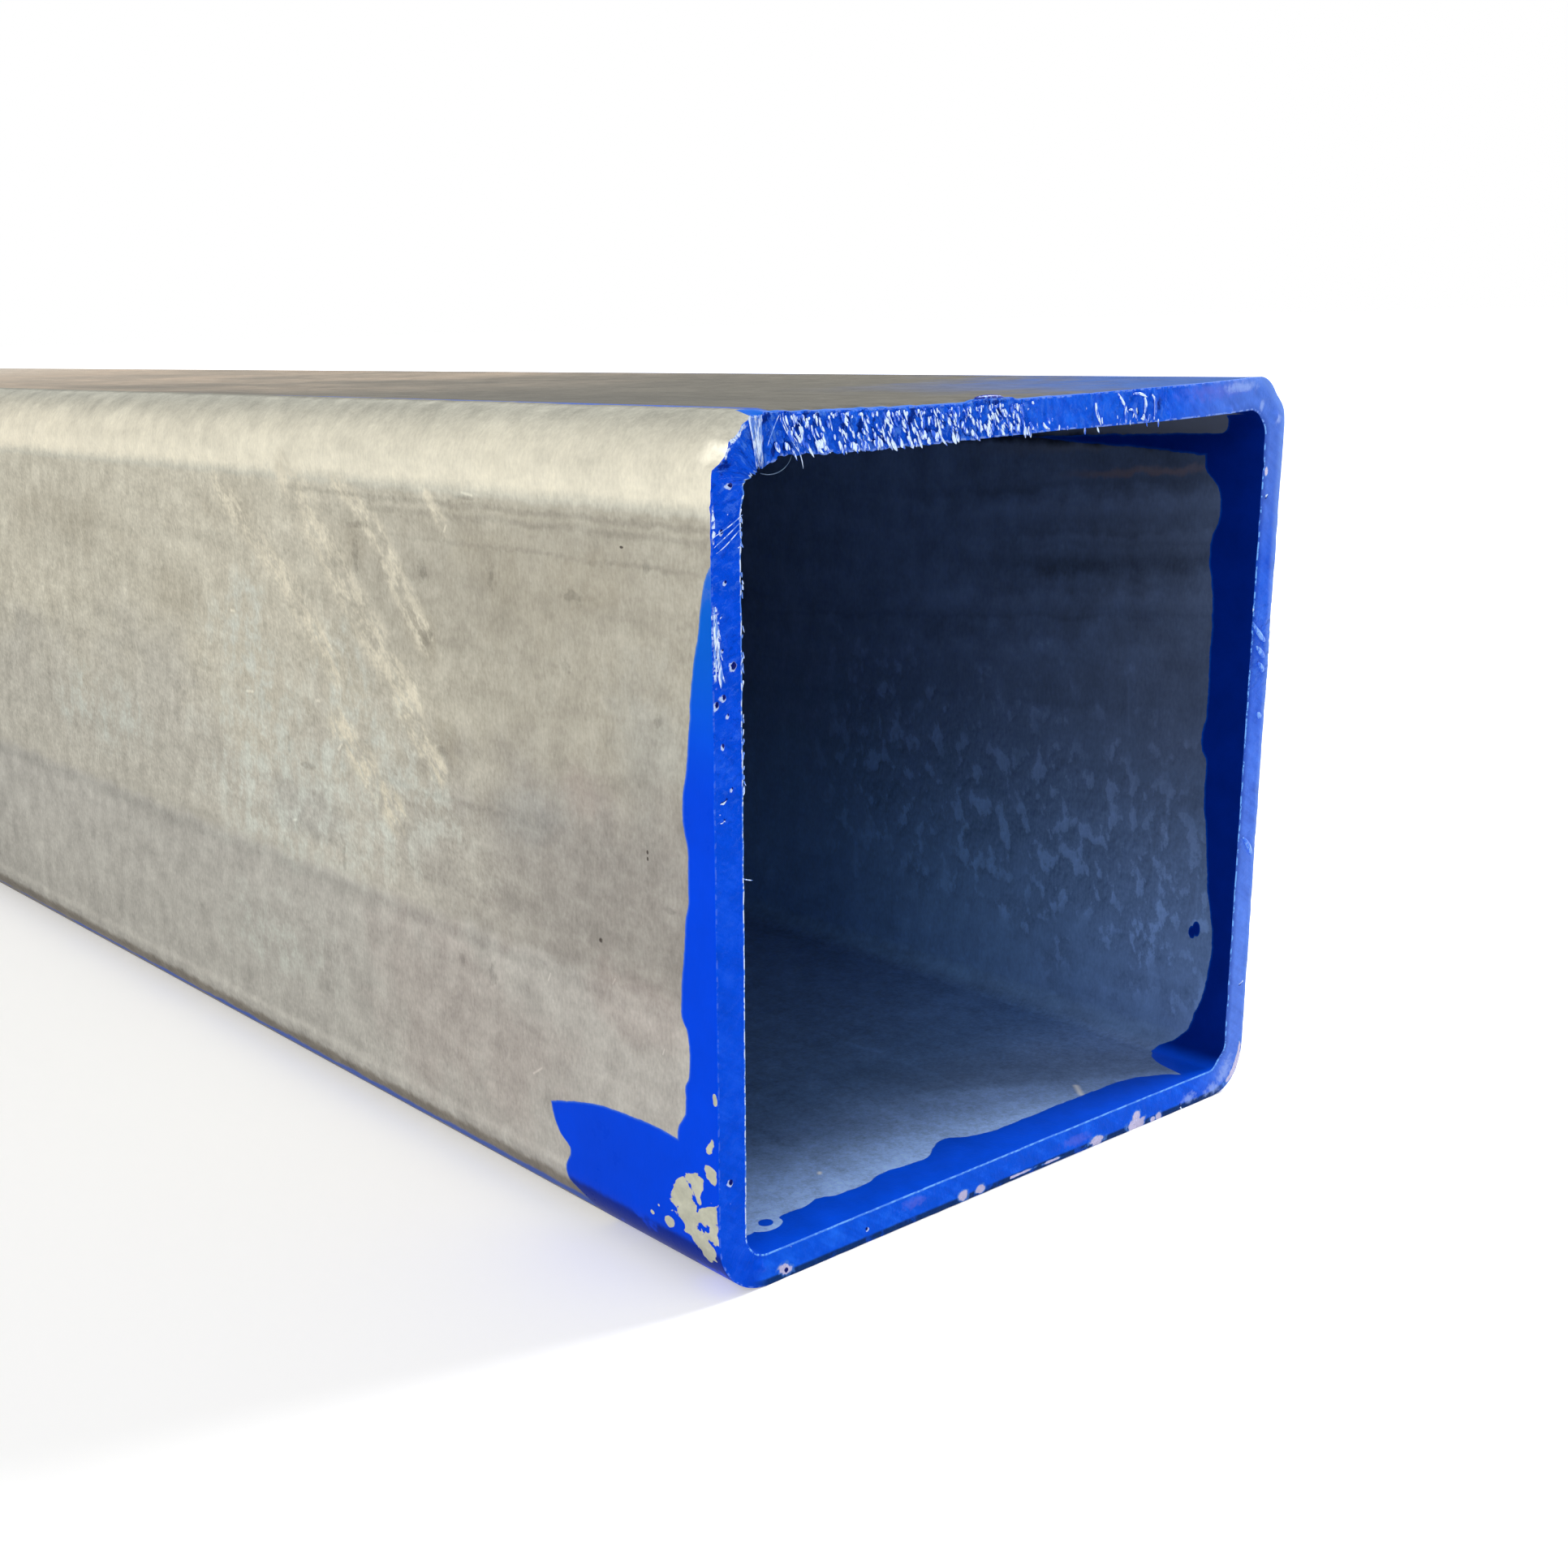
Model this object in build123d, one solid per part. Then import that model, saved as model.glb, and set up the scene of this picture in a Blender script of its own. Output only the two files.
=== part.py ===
from build123d import *
import os

# A cut length of square metal tube, in millimetres.
# It lies on one flat with its length along Y. The marked end is the one at -Y.
# The origin is at the middle of the flat it lies on, with Z up.

outer_side = 76.2  # across the flats, the same both ways
wall = 3.175  # even all round the section, corners included
bend_radius = 2.6  # of the bend on the inside of each corner
length = 609.6  # from one sawn end to the other

inner_side = outer_side - 2 * wall
outer_corner_radius = bend_radius + wall  # the strip keeps its thickness round the bend


def hollow_section():
    """The section of the tube, square to its length: a rounded square less its hollow."""
    with BuildSketch(Plane.XZ) as section:
        with Locations((0, outer_side / 2)):
            RectangleRounded(outer_side, outer_side, outer_corner_radius)
            RectangleRounded(inner_side, inner_side, bend_radius, mode=Mode.SUBTRACT)
    return section.sketch


def sawn_length(section):
    """The tube, with the two saw cuts square to it and as far from its middle."""
    return extrude(section, amount=length / 2, both=True)


square_tube = sawn_length(hollow_section())
square_tube.label = "square_tube"

os.makedirs("parts", exist_ok=True)
export_step(square_tube, "parts/square_tube.step")

grams_per_cubic_mm = 0.00785  # steel
print(f"corner radius outside {outer_corner_radius:.3f} mm, hollow {inner_side:.3f} mm across")
print(f"volume {square_tube.volume:.0f} mm3, {square_tube.volume * grams_per_cubic_mm / 1000:.2f} kg in steel")
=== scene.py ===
import math
from functools import reduce

import bpy
import numpy as np
from mathutils import Matrix, Vector


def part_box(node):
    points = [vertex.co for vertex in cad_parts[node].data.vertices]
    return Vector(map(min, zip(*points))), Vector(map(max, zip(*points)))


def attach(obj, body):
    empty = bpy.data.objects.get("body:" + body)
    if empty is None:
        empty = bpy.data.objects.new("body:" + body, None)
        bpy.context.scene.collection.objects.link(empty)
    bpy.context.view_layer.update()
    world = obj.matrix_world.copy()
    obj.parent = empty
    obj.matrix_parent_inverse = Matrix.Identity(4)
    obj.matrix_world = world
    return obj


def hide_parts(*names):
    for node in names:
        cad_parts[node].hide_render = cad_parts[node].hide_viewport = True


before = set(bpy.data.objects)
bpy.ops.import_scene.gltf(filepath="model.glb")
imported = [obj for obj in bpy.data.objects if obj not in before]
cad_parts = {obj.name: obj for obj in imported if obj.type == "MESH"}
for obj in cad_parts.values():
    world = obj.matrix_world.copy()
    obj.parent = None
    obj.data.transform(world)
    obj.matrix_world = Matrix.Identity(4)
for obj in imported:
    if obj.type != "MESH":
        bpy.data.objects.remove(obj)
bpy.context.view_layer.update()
print("frame loaded")

# The tube lies along Y on the floor at z = 0, with its painted end at -Y. Meshes are in metres.
# Places on it are also given in sides: one side of the tube is 1, from the outer lower left corner
# of the painted end, x across, y along the tube and z up.
low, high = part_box("square_tube")
side = high.z - low.z
halfSide = side / 2
halfLength = high.y


def addObject(name, data):
    # Puts a mesh, a lamp or a camera into the scene.
    obj = bpy.data.objects.new(name, data)
    bpy.context.scene.collection.objects.link(obj)
    return obj


# Small helpers for shader trees.

def display(red, green, blue):
    # A colour as a screen shows it, 0 to 255, turned into the linear values that shaders use.
    share = np.array([red, green, blue]) / 255
    linear = np.where(share <= 0.04045, share / 12.92, ((share + 0.055) / 1.055) ** 2.4)
    return (*linear.tolist(), 1.0)


class Signal:
    # What a node gives out. Signals and numbers add, multiply and so on, each time as a new Math node.

    def __init__(self, socket):
        self.socket, self.tree = socket, socket.id_data

    def __add__(self, other):
        return other + self if isinstance(other, Product) else calc("ADD", self, other)

    def __sub__(self, other):
        return calc("SUBTRACT", self, other) if isinstance(other, Signal) else self + -other

    def __rsub__(self, other):
        return calc("SUBTRACT", other, self)

    def __mul__(self, other):
        return Product(self, other)

    def __truediv__(self, other):
        return calc("DIVIDE", self, other)

    def __neg__(self):
        return Product(self, -1)

    def __abs__(self):
        return calc("ABSOLUTE", self)

    __radd__, __rmul__ = __add__, __mul__


class Product(Signal):
    # A product waits until it is used, because one that something is added to takes a single node.
    def __init__(self, first, second):
        self.parts, self.tree, self.made = (first, second), treeOf(first, second), None

    @property
    def socket(self):
        if self.made is None:
            self.made = calc("MULTIPLY", *self.parts).socket
        return self.made

    def __add__(self, other):
        return calc("MULTIPLY_ADD", *self.parts, other)

    __radd__ = __add__


class Made:
    # A node whose outputs are signals, by name or number.
    def __init__(self, node):
        self.node = node

    def __getitem__(self, key):
        return Signal(self.node.outputs[key])


def treeOf(*values):
    return next(value.tree for value in values if isinstance(value, Signal))


def feed(node, values):
    # Sets a node's inputs by name or number, or joins signals to them.
    for key, value in values.items():
        if isinstance(value, Signal):
            value.tree.links.new(value.socket, node.inputs[key])
        else:
            node.inputs[key].default_value = value


def put(kind, values=None, tree=None, **fields):
    # Adds a node, sets its fields and feeds its inputs.
    values = values or {}
    node = (tree or treeOf(*values.values())).nodes.new("ShaderNode" + kind)
    for name, value in fields.items():
        setattr(node, name, value)
    feed(node, values)
    return Made(node)


def calc(operation, first, second=0.0, third=0.0, clamp=False):
    return put("Math", {0: first, 1: second, 2: third}, operation=operation, use_clamp=clamp)[0]


def larger(*values):
    return reduce(lambda first, second: calc("MAXIMUM", first, second), values)


def smaller(*values):
    return reduce(lambda first, second: calc("MINIMUM", first, second), values)


def vector(operation, first, second=(0, 0, 0), scale=1.0):
    made = put("VectorMath", {0: first, 1: second, 3: scale}, operation=operation)
    return made["Value" if operation in ("LENGTH", "DISTANCE", "DOT_PRODUCT") else "Vector"]


def rise(value, start, end, lowest=0.0, highest=1.0):
    # Smooth step: lowest at start, highest at end, whichever of the two is larger.
    values = {"Value": value, "From Min": start, "From Max": end, "To Min": lowest, "To Max": highest}
    return put("MapRange", values, interpolation_type="SMOOTHSTEP")["Result"]


def blend(share, first, second):
    # Between two colours.
    return put("Mix", {0: share, 6: first, 7: second}, data_type="RGBA")[2]


def layered(colour, layers):
    # Lays more colours over a first one, each with its share.
    for share, over in layers:
        colour = blend(share, colour, over)
    return colour


def slide(share, first, second):
    # Between two numbers.
    return put("Mix", {0: share, 2: first, 3: second}, data_type="FLOAT")[0]


def grainy(place, scale, detail=3.0, roughness=0.5, distortion=0.0, ways="3D"):
    values = {"Vector": place, "Scale": scale, "Detail": detail, "Roughness": roughness}
    return put("TexNoise", {**values, "Distortion": distortion}, noise_dimensions=ways)["Fac"]


def flatGrain(flat, scale, detail=3.0, roughness=0.5, distortion=0.0):
    # The same on the flat map, which needs only two directions.
    return grainy(flat, scale, detail, roughness, distortion, "2D")


def stretch(place, longer=(1, 1, 1), turn=(0, 0, 0), shift=(0, 0, 0)):
    # Makes a pattern longer along its own axes, which are turned first.
    values = {"Vector": place, "Scale": longer, "Rotation": turn, "Location": shift}
    return put("Mapping", values, vector_type="TEXTURE")[0]


def centred(value, gain=1.0):
    # A noise from 0 to 1, moved to lie about 0.
    return value * gain - .5 * gain


def between(value, start, end, soft):
    # 1 from start to end, with soft ends.
    return rise(value, start - soft, start + soft) * rise(value, end + soft, end - soft)


def nearTo(value, centre, width):
    # 1 at the centre, falling to 0 at width away from it.
    return rise(abs(value - centre) / width, 1, .1)


def shaped(value, points):
    # A curve through a few points, each a place on the value and what comes out there, both from 0 to 1.
    made = put("FloatCurve", {"Value": value})
    curve = made.node.mapping.curves[0]
    for place, height in points[1:-1]:
        curve.points.new(place, height)
    for point, (place, height) in zip(curve.points, points):
        point.location = (place, height)
        point.handle_type = "AUTO_CLAMPED"
    made.node.mapping.update()
    return made[0]


def makeGroup(name, inputs, outputs):
    # A node group with named sockets, the inputs given as a kind and a starting value.
    group = bpy.data.node_groups.new(name, "ShaderNodeTree")
    for socket, (kind, start) in inputs.items():
        made = group.interface.new_socket(socket, in_out="INPUT", socket_type="NodeSocket" + kind)
        if start is not None:
            made.default_value = start
    for socket in outputs:
        group.interface.new_socket(socket, in_out="OUTPUT", socket_type="NodeSocketFloat")
    return group, Made(group.nodes.new("NodeGroupInput"))


def finishGroup(group, results):
    # Joins the results to the group's outputs.
    feed(group.nodes.new("NodeGroupOutput"), results)
    return group


def useGroup(group, values):
    return put("Group", values, node_tree=group)


# The tube's shape.

# The walk round the section starts at the middle of the bottom flat and goes left, up, right and down.
tubeShape = {
    "wall": 0.003175,
    "bendRadius": 0.0026,
    "flatSink": 0.00005,        # how far the middle of a flat lies inside its corners
    "topSink": 0.00034,         # and how much further on the top
    "ripple": (0.00002, 90, 14),    # height of a slow wave in the flats, its waves a metre round and along
    "endStep": 0.00035,         # the cut's mean plane, behind its highest burr
    "edgeRadius": 0.00008,      # where paint rounds the sharp edges of the cut
    "flatSteps": {"bottom": 200, "left": 270, "top": 440, "right": 220},
    "bendSteps": 26,
    "faceSteps": 20,            # across the wall on the painted cut
    # where the rings lie along the tube, from behind the painted cut's edge to the far cut
    "rings": [0, .0003, .0007, .0012, .0018, .0026, .0045, .008, .014, .025, .05, .10, .17, .25, .34,
        .43, .51, .57, .60, .608, .6090],
    "seed": 7,
}
outerRadius = tubeShape["bendRadius"] + tubeShape["wall"]
cornerReach = halfSide - outerRadius


def hashed(i, j, seed):
    # A repeatable number from 0 to 1 for each pair of whole numbers.
    value = np.sin(i * 127.1 + j * 311.7 + seed * 74.7) * 43758.5453
    return value - np.floor(value)


def softNoise(x, y, seed):
    # Heights from -1 to 1 on the whole numbers, joined by smooth steps.
    i, j = np.floor(x), np.floor(y)
    u, v = x - i, y - j
    u, v = u * u * (3 - 2 * u), v * v * (3 - 2 * v)
    bottom = hashed(i, j, seed) * (1 - u) + hashed(i + 1, j, seed) * u
    top = hashed(i, j + 1, seed) * (1 - u) + hashed(i + 1, j + 1, seed) * u
    return (bottom * (1 - v) + top * v) * 2 - 1


def flakes(x, y, seed):
    # The nearest of one scattered centre in each cell gives a tilted facet, as torn metal has.
    # The height is the facet's own level plus its tilt times the way from its centre.
    i, j = np.floor(x), np.floor(y)
    nearest = np.full(x.shape, 9.0)
    height = np.zeros(x.shape)
    for a in (-1, 0, 1):
        for b in (-1, 0, 1):
            dx = i + a + hashed(i + a, j + b, seed) - x
            dy = j + b + hashed(i + a, j + b, seed + 1) - y
            distance = dx * dx + dy * dy
            tiltX = hashed(i + a, j + b, seed + 2) * 2 - 1
            tiltY = hashed(i + a, j + b, seed + 3) * 2 - 1
            level = hashed(i + a, j + b, seed + 4) * 2 - 1
            closer = distance < nearest
            height = np.where(closer, 0.6 * level - 0.9 * (tiltX * dx + tiltY * dy), height)
            nearest = np.minimum(nearest, distance)
    return height


def sectionWalk():
    # Each station has a point on the square through the bend centres and an outward normal:
    # on a flat the point slides and the normal holds, in a bend the point holds and the normal turns.
    # The last result is 1 in the middle of a flat and falls to 0 at its ends and in the bends.
    reach = cornerReach
    corner = {"bl": (-reach, outerRadius), "tl": (-reach, side - outerRadius),
              "tr": (reach, side - outerRadius), "br": (reach, outerRadius), "start": (0, outerRadius)}
    steps, bend = tubeShape["flatSteps"], tubeShape["bendSteps"]
    stretches = [("start", "bl", 270, 270, steps["bottom"] // 2), ("bl", "bl", 270, 180, bend),
                 ("bl", "tl", 180, 180, steps["left"]), ("tl", "tl", 180, 90, bend),
                 ("tl", "tr", 90, 90, steps["top"]), ("tr", "tr", 90, 0, bend),
                 ("tr", "br", 0, 0, steps["right"]), ("br", "br", 0, -90, bend),
                 ("br", "start", -90, -90, steps["bottom"] // 2)]
    cores, angles = [], []
    for first, last, angleA, angleB, count in stretches:
        share = np.arange(count)[:, None] / count
        cores.append(np.array(corner[first]) * (1 - share) + np.array(corner[last]) * share)
        angles.append(angleA + (angleB - angleA) * share[:, 0])
    core, angle = np.concatenate(cores), np.radians(np.concatenate(angles))
    normal = np.stack([np.cos(angle), np.sin(angle)], 1)
    outer = core + outerRadius * normal
    gaps = np.linalg.norm(np.diff(outer, axis=0, append=outer[:1]), axis=1)
    around = np.concatenate([[0], np.cumsum(gaps)])
    offCentre = np.minimum(abs(core[:, 0]), abs(core[:, 1] - halfSide)) / reach
    return core, normal, around, 1 - offCentre ** 2


def wallWalk():
    # The loop through the wall: depth below the outside, place along the tube, and the stretch it is in.
    # It comes up the outside, round the edge, across the cut, back along the inside and over the far cut.
    wall, edge = tubeShape["wall"], tubeShape["edgeRadius"]
    near, far = -halfLength + tubeShape["endStep"], halfLength
    body = np.array(tubeShape["rings"])
    arc = np.radians([22.5, 45, 67.5])
    stretches = []
    stretches.append(np.stack([body * 0, near + edge + body], 1)[::-1])
    stretches.append(np.stack([edge - edge * np.cos(arc), near + edge - edge * np.sin(arc)], 1))
    across = np.linspace(edge, wall - edge, tubeShape["faceSteps"])
    stretches.append(np.stack([across, across * 0 + near], 1))
    stretches.append(np.stack([wall - edge + edge * np.sin(arc), near + edge - edge * np.cos(arc)], 1))
    stretches.append(np.stack([body * 0 + wall, near + edge + body], 1))
    farAcross = wall * np.array([1, .95, .75, .5, .25, .05, 0])
    stretches.append(np.stack([farAcross, farAcross * 0 + far], 1))
    kinds = [np.full(len(stretch), k) for k, stretch in enumerate(stretches)]
    return np.concatenate(stretches), np.concatenate(kinds)


# Places along the walk, in sides, from heights and ways across on each face.
flatSpan = 2 * cornerReach / side
bendSpan = outerRadius * math.pi / 2 / side
cornerInset = outerRadius / side


def onLeft(z):
    return flatSpan / 2 + bendSpan + z - cornerInset


def onTop(x):
    return onLeft(1 - cornerInset) + bendSpan + x - cornerInset


def onRight(z):
    return onTop(1 - cornerInset) + bendSpan + (1 - cornerInset) - z


def onBottom(x):
    if x < 0.5:
        return 0.5 - x
    return onRight(cornerInset) + bendSpan + (1 - cornerInset) - x


def onBend(start, degrees):
    return start + bendSpan * degrees / 90


loopSides = 4 * (flatSpan + bendSpan)
topLeftBend = onLeft(1 - cornerInset)
topRightBend = onTop(1 - cornerInset)
lowRightBend = onRight(cornerInset)

# What the saw left of the painted cut. Single heights and depths are in metres, places in sides.
cutShape = {
    # patterns: height, then size round the section and across the wall
    "facets": (.00017, .0010, .0016),
    "smallFacets": (.00010, .00055, .0007),
    "swell": (.00008, .004, .004),
    "grain": (.00003, .0013, .0008),    # the only one that is also there where nothing is torn
    "facetLean": .35,
    "reliefDepth": .0009,               # how far behind the cut its relief ends
    "wearDepth": .0022,                 # and how far the wear of its edges
    # how unsteady the wear and the fill are, as a share of them, and the sizes of that round the section
    "trimWaver": .25,
    "fillWaver": .20,
    "waverSizes": (.0008, .0009, .00042),
    # how torn it is at each place along the walk
    "tearing": [(0, .05), (onLeft(.1), .06), (onLeft(.50), .08), (onLeft(.60), .22), (onLeft(.8), .30),
        (onLeft(.92), .45), (onTop(.04), .75), (onTop(.10), 1), (onTop(.44), 1), (onTop(.50), .55),
        (onTop(.56), .2), (onTop(.60), .55), (onTop(.63), .2), (onTop(.65), .5), (onTop(.72), .5),
        (onTop(.76), .12), (onTop(.95), .05), (onRight(.72), .06), (onRight(.68), .4),
        (onRight(.61), .4), (onRight(.57), .06), (onRight(.39), .06), (onRight(.37), .3),
        (onRight(.35), .06), (loopSides, .05)],
    # single lumps: x, z and radius in sides, height in metres
    "lumps": [(.0263, .7386, .006, .00022), (.0128, .7057, .004, .00018), (.0175, .7377, .0035, .00016),
        (.0179, .6867, .004, .00016), (.0113, .6538, .004, .00014), (.023, .6058, .0035, .00014),
        (.0117, .6029, .003, .00012), (.0338, .5827, .0025, .0001), (.9742, .9473, .0075, .00026),
        (.059, .0306, .006, .00024), (.066, .0246, .004, .0002), (.7478, .9594, .005, .00024),
        (.8759, .9591, .006, .00026), (.0225, .9259, .004, .00024), (.0171, .1484, .004, .00014),
        (.9536, .8865, .006, .00022)],
    # how far its outer edge is worn away, and its inner edge filled by burrs, at each place along the walk
    "outerTrim": [(onLeft(.90), 0), (onBend(topLeftBend, 13), .0022), (onBend(topLeftBend, 22), .0125),
        (onBend(topLeftBend, 30), .0166), (onBend(topLeftBend, 62), .0086),
        (onBend(topLeftBend, 74), .0074), (onTop(.0758), .0055), (onTop(.10), .0042),
        (onTop(.385), .0042), (onTop(.397), 0), (onTop(.457), 0), (onTop(.466), .0038),
        (onTop(.50), .0034), (onTop(.70), 0)],
    "innerFill": [(onLeft(.895), 0), (onLeft(.911), .0048), (onBend(topLeftBend, 10), .0083),
        (onBend(topLeftBend, 25), .0173), (onBend(topLeftBend, 75), .0200), (onTop(.0725), .0200),
        (onTop(.0825), .0140), (onTop(.10), .0085), (onTop(.125), .0070), (onTop(.225), .0076),
        (onTop(.30), .0056), (onTop(.40), .0034), (onTop(.55), 0)],
    # wear and fill of the two squarer bends
    "highBend": (.0042, .0020),
    "lowBend": (.0072, .0060),
}


def tubeSurface():
    # A point is the core point, plus the normal times what is left of the outer radius at that depth.
    # The middle of each flat sinks a little, on both faces alike. Tearing moves the cut along Y,
    # and pushes its inner edge into the hollow where a burr hangs there.
    core, normal, around, flat = sectionWalk()
    walk, kind = wallWalk()
    depth, along, kind = walk[:, :1], walk[:, 1:], kind[:, None]
    roundSides = (around[:-1] / side)[None, :]
    torn = np.interp(roundSides, *zip(*cutShape["tearing"]))
    wall, seed = tubeShape["wall"], tubeShape["seed"]

    height, wavesRound, wavesAlong = tubeShape["ripple"]
    ripple = height * softNoise(around[:-1][None, :] * wavesRound, along * wavesAlong, seed + 20)
    onTopFlat = (roundSides > onTop(0)) & (roundSides < onTop(1))
    sink = flat[None, :] * (tubeShape["flatSink"] + ripple)
    sink = sink + tubeShape["topSink"] * onTopFlat * (1 - (1 - flat[None, :]) ** 2)

    s, t = around[:-1][None, :], np.broadcast_to(depth, (len(depth), len(core)))
    behindCut = along + halfLength - tubeShape["endStep"]
    onCut = np.clip(1 - behindCut / cutShape["reliefDepth"], 0, 1) * (kind < 5)
    lean = s + cutShape["facetLean"] * t
    height, wide, deep = cutShape["facets"]
    relief = height * flakes(lean / wide, t / deep + 40, seed)
    height, wide, deep = cutShape["smallFacets"]
    relief = relief + height * flakes(lean / wide + 9, t / deep, seed + 9)
    height, wide, deep = cutShape["swell"]
    relief = relief + height * softNoise(s / wide, t / deep, seed + 30)
    height, wide, deep = cutShape["grain"]
    relief = torn * relief + height * softNoise(s / wide, t / deep, seed + 31)
    x = core[:, 0] + (outerRadius - depth - sink) * normal[:, 0]
    z = core[:, 1] + (outerRadius - depth - sink) * normal[:, 1]
    for lumpX, lumpZ, radius, height in cutShape["lumps"]:
        gap = np.hypot(x / side + 0.5 - lumpX, z / side - lumpZ) / radius
        relief = relief - height * np.exp(-(gap ** 4))
    y = np.maximum(along + onCut * relief, -halfLength)

    # Near the cut the outer edge is worn and the inner edge hangs in shreds. Two bends are squarer there:
    # one bulges at its two ends, as a bevel does, and the other in its middle. Both fade across the wall.
    trimSize, fillSize, fineSize = cutShape["waverSizes"]
    shreds = softNoise(s / fillSize, s * 0, seed + 40) + softNoise(s / fineSize, s * 0, seed + 41)
    nearEnd = (kind < 5) * np.clip(1 - (along + halfLength) / cutShape["wearDepth"], 0, 1)
    turnHigh = np.clip((roundSides - topRightBend) / bendSpan, 0, 1)
    turnLow = np.clip((roundSides - lowRightBend) / bendSpan, 0, 1)
    (highTrim, highFill), (lowTrim, lowFill) = cutShape["highBend"], cutShape["lowBend"]
    trim = np.interp(roundSides, *zip(*cutShape["outerTrim"]))
    trim = trim * (1 + cutShape["trimWaver"] * softNoise(s / trimSize, s * 0, seed + 42))
    trim = trim - highTrim * np.sin(2 * np.pi * turnHigh) ** 2 - lowTrim * np.sin(np.pi * turnLow) ** 2
    fill = np.interp(roundSides, *zip(*cutShape["innerFill"]))
    fill = fill * np.clip(1 + cutShape["fillWaver"] * shreds, .3, 2)
    fill = fill + highFill * np.sin(np.pi * turnHigh) ** 2 + lowFill * np.sin(np.pi * turnLow) ** 2
    share = t / wall
    outward = -side * nearEnd * (trim * (1 - share) ** 2 + fill * share ** 2)
    x = np.clip(x + outward * normal[:, 0], -halfSide, halfSide)
    z = np.clip(z + outward * normal[:, 1], 0, side)

    # The flat map of the skin, in sides: round the section, and from the cut's outer edge back along
    # the outside (above 0), or across the cut and in along the inside (below 0).
    fromEnd = along + halfLength
    unrolled = np.where(kind == 0, fromEnd, np.where(kind < 4, -t, -wall - fromEnd))
    unrolled = np.where(kind == 5, 2 * halfLength + t, unrolled)
    spots = np.stack(np.broadcast_arrays(roundSides, unrolled / side), -1)
    # What each row of faces ends at: the next ring, but at the far edge the inside keeps its own map.
    ends = np.roll(spots, -1, 0)
    lastInside = np.flatnonzero(kind[:, 0] == 4)[-1]
    ends[lastInside, :, 1] = -(wall + 2 * halfLength) / side
    return np.stack([x, y, z], -1), spots, ends, kind[:, 0]


def closedGrid(name, points, spots, ends, faceKinds):
    # A grid that closes on itself both ways, as quads, with the flat map on its corners.
    rows, columns = points.shape[:2]
    a = np.arange(rows * columns).reshape(rows, columns)
    b = np.roll(a, -1, 1)
    c, d = np.roll(b, -1, 0), np.roll(a, -1, 0)
    quads = np.stack([a, d, c, b], -1).reshape(-1, 4)
    mesh = bpy.data.meshes.new(name)
    mesh.vertices.add(rows * columns)
    mesh.vertices.foreach_set("co", points.reshape(-1).astype(np.float32))
    mesh.loops.add(quads.size)
    mesh.loops.foreach_set("vertex_index", quads.reshape(-1).astype(np.int32))
    mesh.polygons.add(len(quads))
    mesh.polygons.foreach_set("loop_start", np.arange(0, quads.size, 4, dtype=np.int32))
    mesh.polygons.foreach_set("use_smooth", np.ones(len(quads), bool))
    mesh.polygons.foreach_set("material_index", np.repeat(faceKinds, columns).astype(np.int32))
    mesh.update(calc_edges=True)
    corners = [spots, ends, np.roll(ends, -1, 1), np.roll(spots, -1, 1)]
    flatMap = np.stack([corner.reshape(-1, 2) for corner in corners], 1)
    lastColumn = np.tile(np.arange(columns) == columns - 1, rows)
    flatMap[lastColumn, 2:, 0] += loopSides
    layer = mesh.uv_layers.new(name="skin")
    layer.data.foreach_set("uv", flatMap.reshape(-1).astype(np.float32))
    return addObject(name, mesh)


points, spots, ends, kind = tubeSurface()
# Outside 0, painted cut 1, inside 2, far cut 3: a row of faces runs from its own ring to the next.
rowKind = np.select([kind < 1, kind < 4, kind < 5], [0, 1, 2], 3)
nextKind = np.roll(rowKind, -1)
rowKind = np.where((rowKind == 3) & (nextKind == 0), 0, rowKind)
tube = closedGrid("squareTubeSkin", points, spots, ends, rowKind)
print("tube skin made:", len(tube.data.polygons), "faces")


# What the materials share. Round and along are the flat map's two values in sides.

def skinPlaces(tree):
    flat = put("UVMap", tree=tree, uv_map="skin")[0]
    parts = put("SeparateXYZ", {0: flat})
    place = vector("SCALE", put("TexCoord", tree=tree)["Object"], scale=1 / side)
    return {"flat": flat, "round": parts[0], "along": parts[1], "place": place}


def makeSpotGroup():
    # One placed mark: 1 at its centre, 0 at its rim and below 0 outside.
    inputs = {"Flat": ("Vector", None), "Centre": ("Vector", None), "Turn": ("Float", 0),
              "Size": ("Vector", None)}
    group, given = makeGroup("placedSpot", inputs, ["Field"])
    offset = vector("SUBTRACT", given["Flat"], given["Centre"])
    turned = put("VectorRotate", {"Vector": offset, "Angle": given["Turn"]}, rotation_type="Z_AXIS")[0]
    distance = vector("LENGTH", vector("DIVIDE", turned, given["Size"]))
    return finishGroup(group, {"Field": 1 - distance})


def makeStreakGroup():
    # A straight rub: 1 on the line from one place to another, falling to 0 at its width.
    inputs = {"Flat": ("Vector", None), "Start": ("Vector", None), "Way": ("Vector", None),
              "Width": ("Float", .01)}
    group, given = makeGroup("rubStreak", inputs, ["Mask"])
    offset, way = vector("SUBTRACT", given["Flat"], given["Start"]), given["Way"]
    share = calc("DIVIDE", vector("DOT_PRODUCT", offset, way), vector("DOT_PRODUCT", way, way), clamp=True)
    gap = vector("DISTANCE", offset, vector("SCALE", way, scale=share))
    return finishGroup(group, {"Mask": rise(gap / given["Width"], 1, 0)})


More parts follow.
